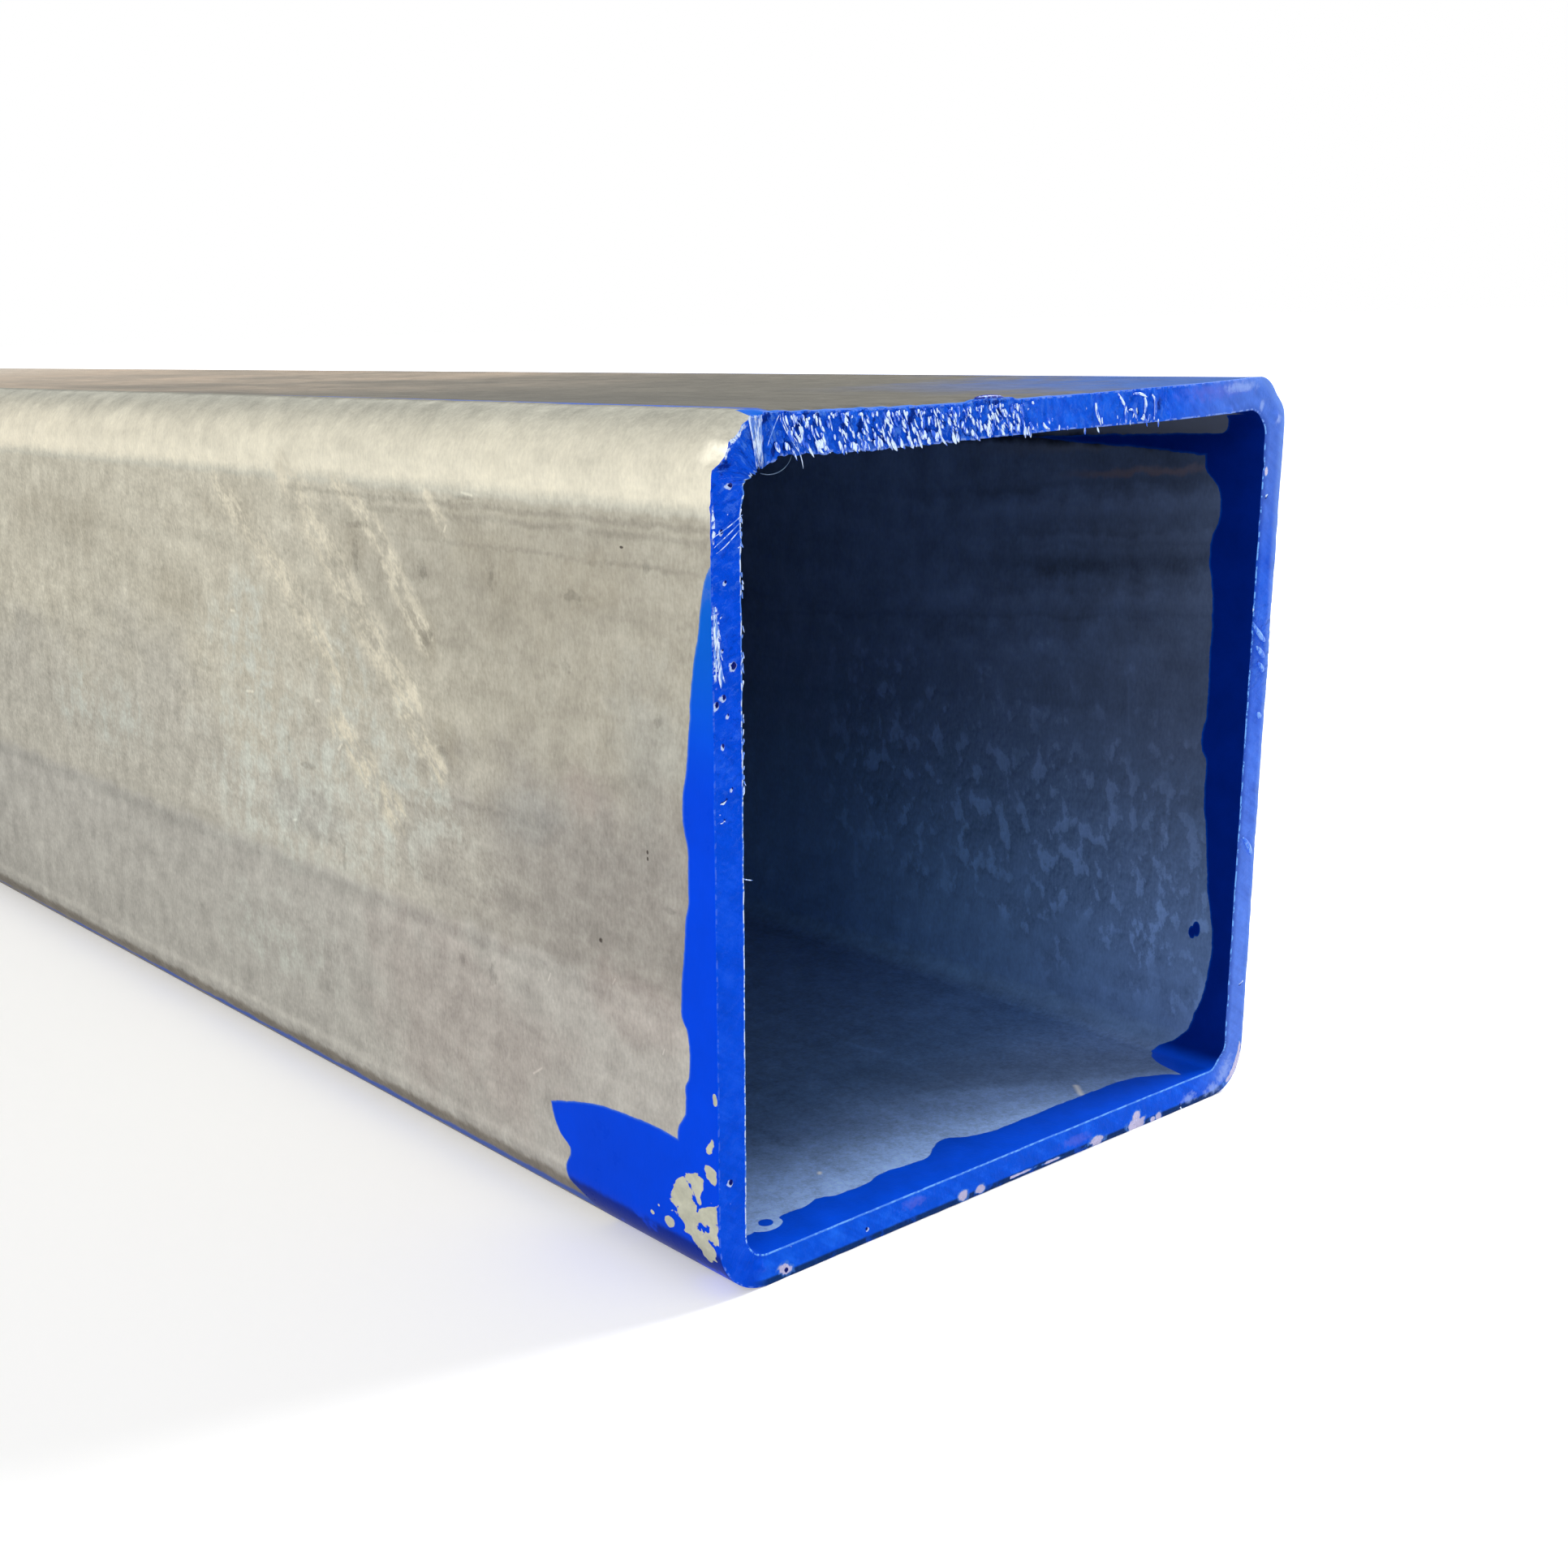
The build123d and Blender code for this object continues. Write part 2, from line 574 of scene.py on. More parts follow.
def makeSpeckGroup():
    # Scattered specks: round cells, of which only a share holds a speck, each of its own size.
    inputs = {"Place": ("Vector", None), "Scale": ("Float", 40), "Share": ("Float", .2),
              "Size": ("Float", .2)}
    group, given = makeGroup("scatteredSpecks", inputs, ["Mask"])
    cells = put("TexVoronoi", {"Vector": given["Place"], "Scale": given["Scale"], "Randomness": 1.0})
    draws = put("SeparateColor", {0: cells["Color"]})
    reach = given["Size"] * (draws[1] * .8 + .3)
    inside = rise(cells["Distance"] / reach, 1.1, .8)
    return finishGroup(group, {"Mask": inside * calc("LESS_THAN", draws[0], given["Share"])})


def makePaintEdgeGroup():
    # Where a brushed film of paint ends. Field is how far inside its drawn edge a point lies, in sides.
    # Cover is the film, and Fringe its thin outermost rim.
    inputs = {"Field": ("Float", 0), "Place": ("Vector", None), "Ragged": ("Float", .006),
              "Fringe": ("Float", .005)}
    group, given = makeGroup("paintEdge", inputs, ["Cover", "Fringe"])
    wander = centred(grainy(given["Place"], 26, 4, .62), 2)
    field = wander * given["Ragged"] + given["Field"]
    cover = rise(field, -.0007, .0009)
    return finishGroup(group, {"Cover": cover, "Fringe": cover * rise(field / given["Fringe"], 1, 0)})


def makeMillGroup():
    # The rolled surface: long faint lines along the tube, wiped strokes across it, clouds and fine grain.
    # Tone is a light or dark change about 0, Height goes to a bump, Shine is a change of roughness about 0.
    inputs = {"Place": ("Vector", None), "Lines": ("Float", 1), "Strokes": ("Float", 1),
              "Grain": ("Float", 1)}
    group, given = makeGroup("millSurface", inputs, ["Tone", "Height", "Shine", "Cloud", "Strokes"])
    place = given["Place"]
    lines = centred(grainy(stretch(place, (1, 26, 1)), 30, 3, .6))
    cloud = grainy(stretch(place, (1, 1.7, 1), shift=(7, 3, 1)), 3.4, 3, .6)
    strokes = centred(grainy(stretch(place, (1, 1, 2.6), turn=(.25, 0, 0)), 30, 4, .62))
    grain = centred(grainy(stretch(place, (1, 1, 2.2)), 240, 2, .6))
    tone = lines * given["Lines"]
    tone = strokes * given["Strokes"] + tone
    tone = grain * given["Grain"] + tone
    return finishGroup(group, {
        "Tone": centred(cloud) * .25 + tone,
        "Height": strokes * 2.5 + grain,
        "Shine": strokes + centred(cloud),
        "Cloud": cloud,
        "Strokes": strokes,
    })


placedSpot = makeSpotGroup()
rubStreak = makeStreakGroup()
scatteredSpecks = makeSpeckGroup()
paintEdge = makePaintEdgeGroup()
millSurface = makeMillGroup()


def spotField(skin, centre, size, turn=0.0):
    values = {"Flat": skin["flat"], "Centre": (*centre, 0), "Size": (*size, 1), "Turn": turn}
    return useGroup(placedSpot, values)["Field"]


def placedSpots(skin, marks, wobble, edge=.25):
    # The union of several placed marks, each a centre and size on the flat map and sometimes a turn.
    # The wobble is a noise about 0, in shares of a mark's size, that unsettles their outlines.
    return rise(larger(*(spotField(skin, *mark) for mark in marks)) + wobble, 0, edge)


def spotsOn(face, marks):
    # Marks on one face, each a place across and along it, its size both ways and perhaps a turn.
    return [((face(at), along), (wide, long), *turn) for at, along, wide, long, *turn in marks]


def linesOn(face, marks):
    # Lines on one face, each a start across and along it, an end, and a width.
    return [((face(at), along), (face(endAt), endAlong), width)
            for at, along, endAt, endAlong, width in marks]


def rollsOn(face, marks):
    # Whatever runs along one face, each a place across it and more values.
    return [(face(at), *more) for at, *more in marks]


def streaks(skin, lines):
    # The union of several rubs, each a start, an end and a width on the flat map.
    masks = []
    for start, end, width in lines:
        way = (end[0] - start[0], end[1] - start[1], 0)
        values = {"Flat": skin["flat"], "Start": (*start, 0), "Way": way, "Width": width}
        masks.append(useGroup(rubStreak, values)["Mask"])
    return larger(*masks)


def tinted(colour, tone, gain=1.0):
    # Lightens or darkens a colour by a change about 0.
    return vector("SCALE", colour, scale=tone * gain + 1.0)


def coloursIn(*looks):
    # The colours among the settings, as shaders use them.
    return {name: display(*value) for look in looks for name, value in look.items()
            if isinstance(value, tuple) and isinstance(value[0], int)}


def newMaterial(name, tint=1.0, specular=.5):
    material = bpy.data.materials.new(name)
    material.use_nodes = True
    tree = material.node_tree
    shader = tree.nodes["Principled BSDF"]
    feed(shader, {"Specular Tint": (tint, tint, tint, 1), "Specular IOR Level": specular})
    return material, tree, shader


def finishSurface(shader, colour, metallic, roughness, height):
    # The bump's height is in millimetres.
    bump = put("Bump", {"Height": height, "Distance": .001, "Strength": 1.0})[0]
    feed(shader, {"Base Color": colour, "Metallic": metallic, "Roughness": roughness, "Normal": bump})


print("shared effects made")


# The outside: rolled steel with a brushed end of stock paint.
paintColours = {
    "deep": (0, 66, 218),
    "bright": (8, 94, 204),
    "dark": (0, 38, 140),
    "rim": (84, 140, 196),
    "hazy": (30, 88, 208),
    "pale": (112, 150, 232),
    "edgeShade": (14, 44, 84),
    "inside": (0, 28, 112),
    # the inside paint on the floor, lighter as painted light
    "floorBlue": (6, 76, 220),
}

outsideLook = {
    "mill": {"Lines": .18, "Strokes": .34, "Grain": .46},
    # the metal's tones in three bands up a face, near the painted end and further along
    "lowNear": (184, 180, 173), "lowFar": (185, 182, 174),
    "midNear": (157, 152, 145), "midFar": (190, 186, 174),
    "upNear": (174, 169, 155), "upFar": (196, 191, 175),
    "mauve": (168, 156, 150),
    "coolPale": (190, 193, 184),
    "warmPale": (206, 200, 182),
    "brownDark": (150, 142, 125),
    "bluish": (158, 163, 164),
    # the upper bends, lighter partly from burnish and mostly as a painted highlight
    "burnished": (221, 216, 198), "burnishedFar": (236, 229, 209),
    "bendGrey": (184, 183, 171),
    "tangent": (124, 123, 114),
    # the top near the painted end, darkened as a painted reflection
    "topNear": (108, 106, 99),
    "topFar": (184, 171, 155),
    "topBrown": (172, 156, 139),
    "topHaze": (52, 92, 162), "topSmear": (48, 90, 184),
    # the lower bend in painted shade
    "lowBend": (132, 124, 113),
    "bareChip": (198, 198, 178),
    "speck": (70, 62, 58),
    # how far the paint reaches along the left flat: height, then reach, both in sides
    "leftReach": [(.0007, .0537), (.1416, .0539), (.1849, .077), (.211, .0678), (.2291, .0612),
        (.2512, .0612), (.2642, .0552), (.2853, .0533), (.3044, .0534), (.3234, .0574), (.3415, .0667),
        (.3656, .0653), (.4077, .0603), (.4498, .0563), (.4868, .0501), (.5288, .0502), (.5704, .0577),
        (.6159, .0524), (.6748, .0443), (.7117, .0405), (.7656, .0290), (.8265, .0160), (.8474, .0050),
        (.87, -.012), (1, -.012)],
    # the patch at the bottom of the left flat: how high it reaches at each place along the tube
    "patchTop": [(0, .1868), (.073, .1852), (.107, .1866), (.173, .1845), (.227, .18), (.267, .1707),
        (.299, .1627), (.32, .156), (.34, .149), (.5, .1018)],
    # and how far along at each height, counted up from one corner inset under the flat
    "patchReach": [(0, .2719), (.04, .264), (.08, .252), (.108, .264), (.1223, .2778), (.129, .2897),
        (.1343, .295), (.1477, .2977), (.1743, .2871), (.193, .3083), (.217, .3215), (.25, .3274),
        (1, .3271)],
    # bare spots where the paint has flaked off
    "chips": spotsOn(onLeft, [(.2548, .0099, .0065, .004), (.1919, .0202, .010, .006, .5),
        (.1584, .0189, .0085, .0085), (.1082, .0736, .020, .021), (.1386, .0469, .012, .014, .3),
        (.1074, .0188, .018, .0115, .4), (.0964, .0439, .022, .022), (.0742, .0439, .014, .020),
        (.0611, .024, .014, .014), (.074, .0941, .0060, .0085), (.1235, .0657, .013, .017),
        (.074, .1258, .0034, .0044), (.0874, .1132, .0030, .0032), (.0863, .0141, .016, .010)]),
    # pale diagonal rubs, as wide soft lines that a comb of short dashes breaks up
    "rubs": linesOn(onLeft, [(.7138, .5664, .8388, .6729, .042), (.8588, .6916, .8989, .7627, .026),
        (.6239, .6081, .7341, .7315, .060), (.7341, .7315, .9042, .8941, .056),
        (.6442, .7932, .7645, .9363, .046), (.7645, .9363, .8747, 1.102, .040),
        (.8484, .4989, .8884, .5384, .018), (.5437, .5489, .6039, .6181, .040),
        (.4637, .658, .5641, .7964, .050)]),
    # places where the surface is cooler and paler, browner, more mauve, or bluish
    "palePlaces": spotsOn(onLeft, [(.6041, .7567, .15, .22, .5), (.5039, .7372, .14, .26),
        (.6446, 1.0339, .16, .18), (.4442, 1.015, .14, .36), (.1929, 1.0162, .10, .26),
        (.4752, 1.5907, .10, .30)]),
    "brownPlaces": spotsOn(onLeft, [(.804, .7264, .07, .09), (.7237, .5585, .06, .08),
        (.7933, .4002, .10, .17), (.8446, 1.0428, .05, .12), (.786, 1.6873, .06, .25),
        (.8029, .2027, .06, .13), (.5737, .5192, .04, .05), (.7052, 1.2912, .06, .14)]),
    "mauvePlaces": spotsOn(onLeft, [(.2025, .5495, .15, .34), (.3326, .1432, .06, .12),
        (.5631, .2224, .05, .08)]),
    "bluishPlaces": spotsOn(onLeft, [(.6429, .1039, .16, .10), (.5233, .3312, .06, .10),
        (.424, .9159, .05, .12)]),
    "darkDots": spotsOn(onLeft, [(.3924, .2129, .0046, .0050), (.5179, .1203, .0026, .0018),
        (.5104, .1203, .0026, .0018), (.8546, .1534, .0020, .0040)]),
    "smudges": spotsOn(onLeft, [(.8003, .4062, .022, .007, .35), (.8366, .111, .018, .008),
        (.6699, .0978, .010, .008), (.7122, .262, .012, .012), (.5687, .537, .010, .014, -.5),
        (.2898, .4433, .020, .012, .5), (.2949, .5117, .012, .010), (.4578, .079, .006, .020),
        (.4921, .8958, .007, .030), (.5193, .9452, .014, .006), (.804, .7214, .030, .012),
        (.7937, .5583, .022, .012), (.7138, .5585, .020, .016), (.3736, .807, .030, .006),
        (.8912, .4515, .0035, .020), (.3638, .9806, .012, .007), (.793, .2472, .008, .03),
        (.8439, .7164, .006, .03)]),
    # short bright scratches, lightened as painted glints
    "ticks": linesOn(onLeft, [(.5922, .8458, .5913, .8557, .0040), (.3248, .3164, .3147, .3214, .0020),
        (.3507, .1867, .3437, .1917, .0016), (.2884, .0976, .2813, .1006, .0018),
        (.1922, .3432, .1802, .3611, .0024), (.8951, .4396, .8972, .4614, .0030),
        (.5381, .7925, .5301, .8025, .0040), (.4039, .9398, .4019, .9477, .0036),
        (.8564, .4989, .8484, .5049, .0030), (.5796, 1.0441, .5776, 1.0639, .0036),
        (.6948, 1.0832, .6948, 1.0931, .004)]),
    # painted highlights along the upper left bend
    "gleams": [((1.424, .675), (.040, .030), -.9), ((1.41, .95), (.016, .10)), ((1.45, .36), (.016, .08)),
        ((1.43, 1.42), (.016, .16))],
    # lines that the rolls left: where round, how wide, from and to along the tube, darker below 0
    "rollLines": rollsOn(onLeft, [(.508, .0080, .42, .98, -.09), (.3756, .018, .0, 1.3, .07),
        (.3304, .016, -.1, 8, -.10), (.868, .007, -.1, .62, -.14), (.882, .006, -.1, .95, -.15),
        (.8361, .005, -.1, .5, -.12), (.0789, .011, .1, 8, .12), (.0466, .016, .1, 8, -.10),
        (.6042, .016, 1.1, 3.4, -.05), (.4288, .010, .2, 2.6, .03), (.7942, .02, 1.1, 6, -.05),
        (.2379, .006, .35, 1.9, -.03)]) +
        rollsOn(onTop, [(.12, .014, -.1, 8, -.08), (.46, .03, -.1, 8, .06), (.71, .014, .5, 8, -.08)]) +
        rollsOn(onRight, [(.62, .016, .3, 7, -.07), (.34, .012, -.1, 8, -.06), (.80, .01, 1, 8, .07)]) +
        rollsOn(onBottom, [(.28, .014, -.1, 8, -.07), (.66, .012, .6, 7, -.06)]),
    # thin smears of paint that run along the bends: where round, half their width, how far along they end
    "smears": rollsOn(onTop, [(.077, .0110, 1.25), (.926, .0070, 3.2)]) +
        rollsOn(onLeft, [(.0300, .0120, 3.0)]),
}


def makeOutsideSteel():
    look, colour = outsideLook, coloursIn(paintColours, outsideLook)
    material, tree, shader = newMaterial("outsideSteel", tint=.45, specular=.02)
    skin = skinPlaces(tree)
    around, along, place = skin["round"], skin["along"], skin["place"]
    mill = useGroup(millSurface, {"Place": place, **look["mill"]})
    cloud = centred(mill["Cloud"])
    coarse = centred(flatGrain(skin["flat"], 11, 4, .62))
    fine = centred(flatGrain(skin["flat"], 62, 3, .65))
    blotchy = centred(flatGrain(stretch(skin["flat"], (1, 1.3, 1)), 26, 4, .70))
    # Dashes that lean 45 degrees, with painted light and shade on either side of each, as small dents show
    # in the light.
    leaning = {"longer": (3.2, 1, 1), "turn": (0, 0, .78)}
    dashes = flatGrain(stretch(skin["flat"], **leaning), 64, 3, .64)
    dashesAside = flatGrain(stretch(skin["flat"], **leaning, shift=(.0028, .0028, 0)), 64, 3, .64)
    dentShading = dashes - dashesAside

    # The tones of the metal drift along each face, in three bands.
    height = around - onLeft(0)
    driftUp = coarse * .12 + height + cloud * .35
    driftAlong = cloud * 1.2 + along
    farShare = rise(driftAlong, .25, 1.0)
    metal = blend(farShare, colour["lowNear"], colour["lowFar"])
    metal = blend(rise(coarse * .03 + height, .335, .358), metal,
                  blend(farShare, colour["midNear"], colour["midFar"]))
    metal = blend(rise(driftUp, .48, .66), metal, blend(farShare, colour["upNear"], colour["upFar"]))
    wobble = coarse * 1.6 + cloud * 2
    mauve = placedSpots(skin, look["mauvePlaces"], wobble, .9)
    metal = blend(mauve * .40, metal, colour["mauve"])
    brown = placedSpots(skin, look["brownPlaces"], wobble + blotchy, .9)
    metal = blend(brown * .40, metal, colour["brownDark"])
    bluish = placedSpots(skin, look["bluishPlaces"], wobble, .9)
    metal = blend(bluish * .25, metal, colour["bluish"])
    palePlaces = placedSpots(skin, look["palePlaces"], wobble, .8)
    smoky = rise(blotchy + (dentShading * .8 + mill["Strokes"]), -.14, .22)
    pale = (palePlaces * .68 + .10) * smoky
    metal = blend(pale, metal, colour["coolPale"])

    # The top is darker near the painted end, as a painted darker reflection, and browner further on. Its
    # near corner has a haze of paint.
    onTopFlat = between(around, onTop(.06), onTop(.95), .03)
    topTone = blend(rise(driftAlong, .2, 4.2), colour["topNear"], colour["topFar"])
    brownTop = rise(cloud, -.14, .22) * rise(along, .8, 2, 0, .70)
    topTone = blend(brownTop, topTone, colour["topBrown"])
    topTone = blend(rise(along, 3.2, 5.2, 0, .8), topTone, colour["lowFar"])
    hazeAlong = rise(coarse * .5 + along, .55, .05)
    haze = hazeAlong * rise(coarse * .3 + around, onTop(.45), onTop(.80))
    topTone = blend(haze * .95, topTone, colour["topHaze"])
    metal = blend(onTopFlat, metal, topTone)

    # The upper corners are lighter, partly burnish from the rolls and mostly a painted highlight, and the
    # band stops at a ragged line where the flat begins.
    bandPlace = coarse * .010 + around + fine * .012
    upBend = between(bandPlace, onLeft(.894), onTop(.070), .005)
    metal = blend(upBend, metal, colour["bendGrey"])
    polishAndHighlight = rise(bandPlace, onLeft(.888), onLeft(.915)) * rise(bandPlace, onTop(.058), onTop(-.020))
    polishAndHighlightRight = between(bandPlace, onTop(.955), onRight(.905), .006) * .6
    polishedHighlightTone = blend(rise(along, .5, 2.6), colour["burnished"], colour["burnishedFar"])
    metal = blend(larger(polishAndHighlight, polishAndHighlightRight), metal, polishedHighlightTone)
    metal = blend(nearTo(bandPlace, onTop(.070), .016) * .7, metal, colour["tangent"])
    # The lower bend is darker where it turns down: painted shade.
    lowShade = between(bandPlace, onBottom(.05), onLeft(.058), .007)
    metal = blend(lowShade * .75, metal, colour["lowBend"])

    tone = blotchy * .54 + mill["Tone"]
    dented = between(driftAlong, .50, 2.2, .22)
    dented = dented * between(around, onLeft(.36), onLeft(.91), .03)
    tone = dentShading * (dented * .85 + .18) + tone
    for lineRound, width, first, last, gain in look["rollLines"]:
        line = nearTo(bandPlace, lineRound, width) * between(driftAlong, first, last, .12)
        tone = line * gain + tone
    rubs = streaks(skin, look["rubs"])
    combed = rise(blotchy * .5 + dashes, .38, .62, .15, 1.0)
    metal = blend(rise(rubs, .05, .85) * combed, metal, colour["warmPale"])
    smudges = placedSpots(skin, look["smudges"], fine * 2.4, .7)
    tone = smudges * -.20 + tone
    # Painted highlights on the upper left bend.
    gleams = placedSpots(skin, look["gleams"], wobble, .8)
    tone = gleams * .06 + tone
    tone = streaks(skin, look["ticks"]) * .34 + tone
    metal = tinted(metal, tone * slide(polishAndHighlight, 1, .65))
    darkDots = placedSpots(skin, look["darkDots"], fine * 1.2, .5)
    metal = blend(darkDots * .9, metal, colour["speck"])

    # The paint: its reach round the section, the patch on the left flat, and the smears along the bends.
    reach = shaped(height, [(z, y * 10 + .2) for z, y in look["leftReach"]])
    bandField = reach * .1 - .02 - along
    patchTop = shaped(along * 2, [(y * 2, z) for y, z in look["patchTop"]])
    patchReach = shaped(around - onLeft(-cornerInset), look["patchReach"])
    patchField = smaller(patchTop - height, patchReach - along)
    patchField = smaller(patchField, around - onLeft(-.26))
    section = vector("MULTIPLY", place, (1, 0, 1))
    loose = grainy(section, 4.5, 3, .6) * .16 - .028
    otherField = loose * slide(onTopFlat, 1.0, .22) - along
    otherField = slide(between(around, onLeft(-.04), onTop(.05), .01), otherField, -1.0)
    field = larger(bandField, patchField, otherField)
    smears = 0.0
    for smearRound, width, last in look["smears"]:
        gap = abs(around - smearRound)
        room = along * (-width / last) + width + coarse * .016
        smears = larger(smears, rise(room - gap, -.003, .005))
    film = useGroup(paintEdge, {"Field": field, "Place": place, "Ragged": .0030, "Fringe": .0040})
    lobes = centred(flatGrain(skin["flat"], 40, 3, .5, .5), 2.8)
    chips = placedSpots(skin, look["chips"], lobes, .12)
    thinned = between(height, .84, .95, .05) * rise(fine, -.12, .10, .10, .45)
    cover = film["Cover"] * (1 - larger(chips, thinned))

    blue = blend(rise(height, .58, .80), colour["deep"], colour["bright"])
    # Under the lower bend the paint turns darker, where it faces down: painted shade.
    shadeUnderBend = rise(fine * .006 + around, onLeft(.067), onLeft(.055))
    blue = blend(shadeUnderBend * rise(coarse, .16, .05), blue, colour["dark"])
    blue = blend(film["Fringe"] * .4, blue, colour["rim"])
    blue = tinted(blue, coarse, .25)
    metal = blend(smears * .85, metal, colour["topSmear"])
    bare = blend(chips, metal, tinted(colour["bareChip"][:3], fine + blotchy, .45))
    finished = blend(cover, bare, blue)

    dull = larger(cover, smears, haze * onTopFlat)
    farTop = onTopFlat * rise(along, 2.6, 4.2)
    metallic = (1 - dull) * slide(farTop, .85, .35)
    metalRoughness = mill["Shine"] * .30 + .50
    metalRoughness = onTopFlat * .12 + metalRoughness
    roughness = slide(cover, metalRoughness, coarse * .15 + .30)
    finishSurface(shader, finished, metallic, roughness, mill["Height"] * .012)
    return material


outsideSteel = makeOutsideSteel()
print("outside steel made")


# The painted cut. There the flat map's second value is the way across the wall, from 0 outside.
wallSides = tubeShape["wall"] / side
cutLook = {
    "bareChip": (194, 186, 210),
    "chipHalo": (70, 126, 214),
    "pinkChip": (104, 112, 216),
    "glint": (206, 226, 250),
    "softGlint": (84, 138, 232),
    "shadow": (0, 16, 100),
    "leftBlue": (0, 72, 214),
    "bottomBlue": (6, 84, 222), "bottomLight": (40, 118, 234),
    "topBlue": (10, 78, 214),
    "topLight": (34, 108, 230),
    "rightBlue": (44, 98, 214),
    "greyed": (92, 128, 212),
    # painted highlights along the inner edges, also the pale places' colour
    "rimBlue": (138, 166, 234), "lowRimBlue": (110, 172, 246),
    # chips through the paint: where round the section and how deep in the wall, then their sizes
    "chips": spotsOn(onBottom, [(.1014, .0115, .0125, .0075, -.5), (.4098, .0085, .009, .0075),
        (.4423, .0080, .009, .0065), (.6768, .0070, .016, .0070), (.7612, .0070, .0215, .0095),
        (.7607, .0165, .0090, .0095), (.7984, .0035, .005, .004), (.8108, .0045, .007, .006),
        (.5028, .0055, .044, .0020), (.5826, .0050, .018, .0018)]) +
        [((onBend(lowRightBend, 31), .0050), (.036, .0045))] +
        spotsOn(onRight, [(.8784, .034, .006, .004)]),
    "ring": ((onBottom(.1039), .0095), (.0040, .0042)),
    # soft pale places, stronger ones first
    "paleSpots": spotsOn(onBottom, [(.8797, .0125, .022, .011), (.9376, .012, .028, .012)]) +
        [((onBend(lowRightBend, 50), .020), (.040, .014))] +
        spotsOn(onTop, [(.9617, .030, .012, .010), (.8979, .010, .05, .008)]) +
        spotsOn(onRight, [(.9473, .014, .010, .008)]),
    "pinkSpots": spotsOn(onBottom, [(.3206, .028, .030, .010), (.6325, .020, .04, .010)]) +
        spotsOn(onTop, [(.8438, .012, .10, .014)]),
    # bright scraped places, and painted shade in hollow places that lean across the torn top
    "scrapes": [((onBend(topLeftBend, 46), .003), (.032, .0055))] +
        spotsOn(onLeft, [(.7725, .005, .034, .0065), (.7376, .004, .020, .0040),
        (.8871, .004, .020, .003)]) +
        spotsOn(onTop, [(.0613, .020, .011, .021)]),
    "hollows": spotsOn(onTop, [(.0783, .006, .006, .018, -.85), (.0863, .032, .007, .007),
        (.1274, .010, .006, .018, -.8), (.1494, .008, .007, .014, -.75), (.1093, .034, .010, .005),
        (.1924, .016, .006, .012, -.5), (.2143, .018, .007, .010, -.6), (.2443, .033, .016, .006),
        (.2912, .016, .006, .016, -.3), (.3191, .030, .012, .008), (.3887, .034, .014, .005),
        (.4235, .0035, .022, .0045), (.3649, .034, .006, .008), (.7305, .020, .006, .012)]) +
        [((onBend(topLeftBend, 20), .010), (.012, .010))],
    # small pits, each with a painted highlight on its rim and painted shade in its core
    "pits": spotsOn(onLeft, [(.7386, .0267, .0070, .0070), (.7057, .0133, .0048, .0048),
        (.6987, .0040, .0050, .0045), (.6867, .0183, .0036, .0036), (.6538, .0117, .0036, .0036),
        (.6058, .0233, .0036, .0036), (.7556, .0133, .0032, .0032), (.9259, .0220, .0048, .0048),
        (.8782, .0133, .0036, .0036), (.1484, .0167, .0044, .0044), (.8264, .0183, .0030, .0030)]) +
        spotsOn(onBottom, [(.2383, .018, .003, .003)]),
}


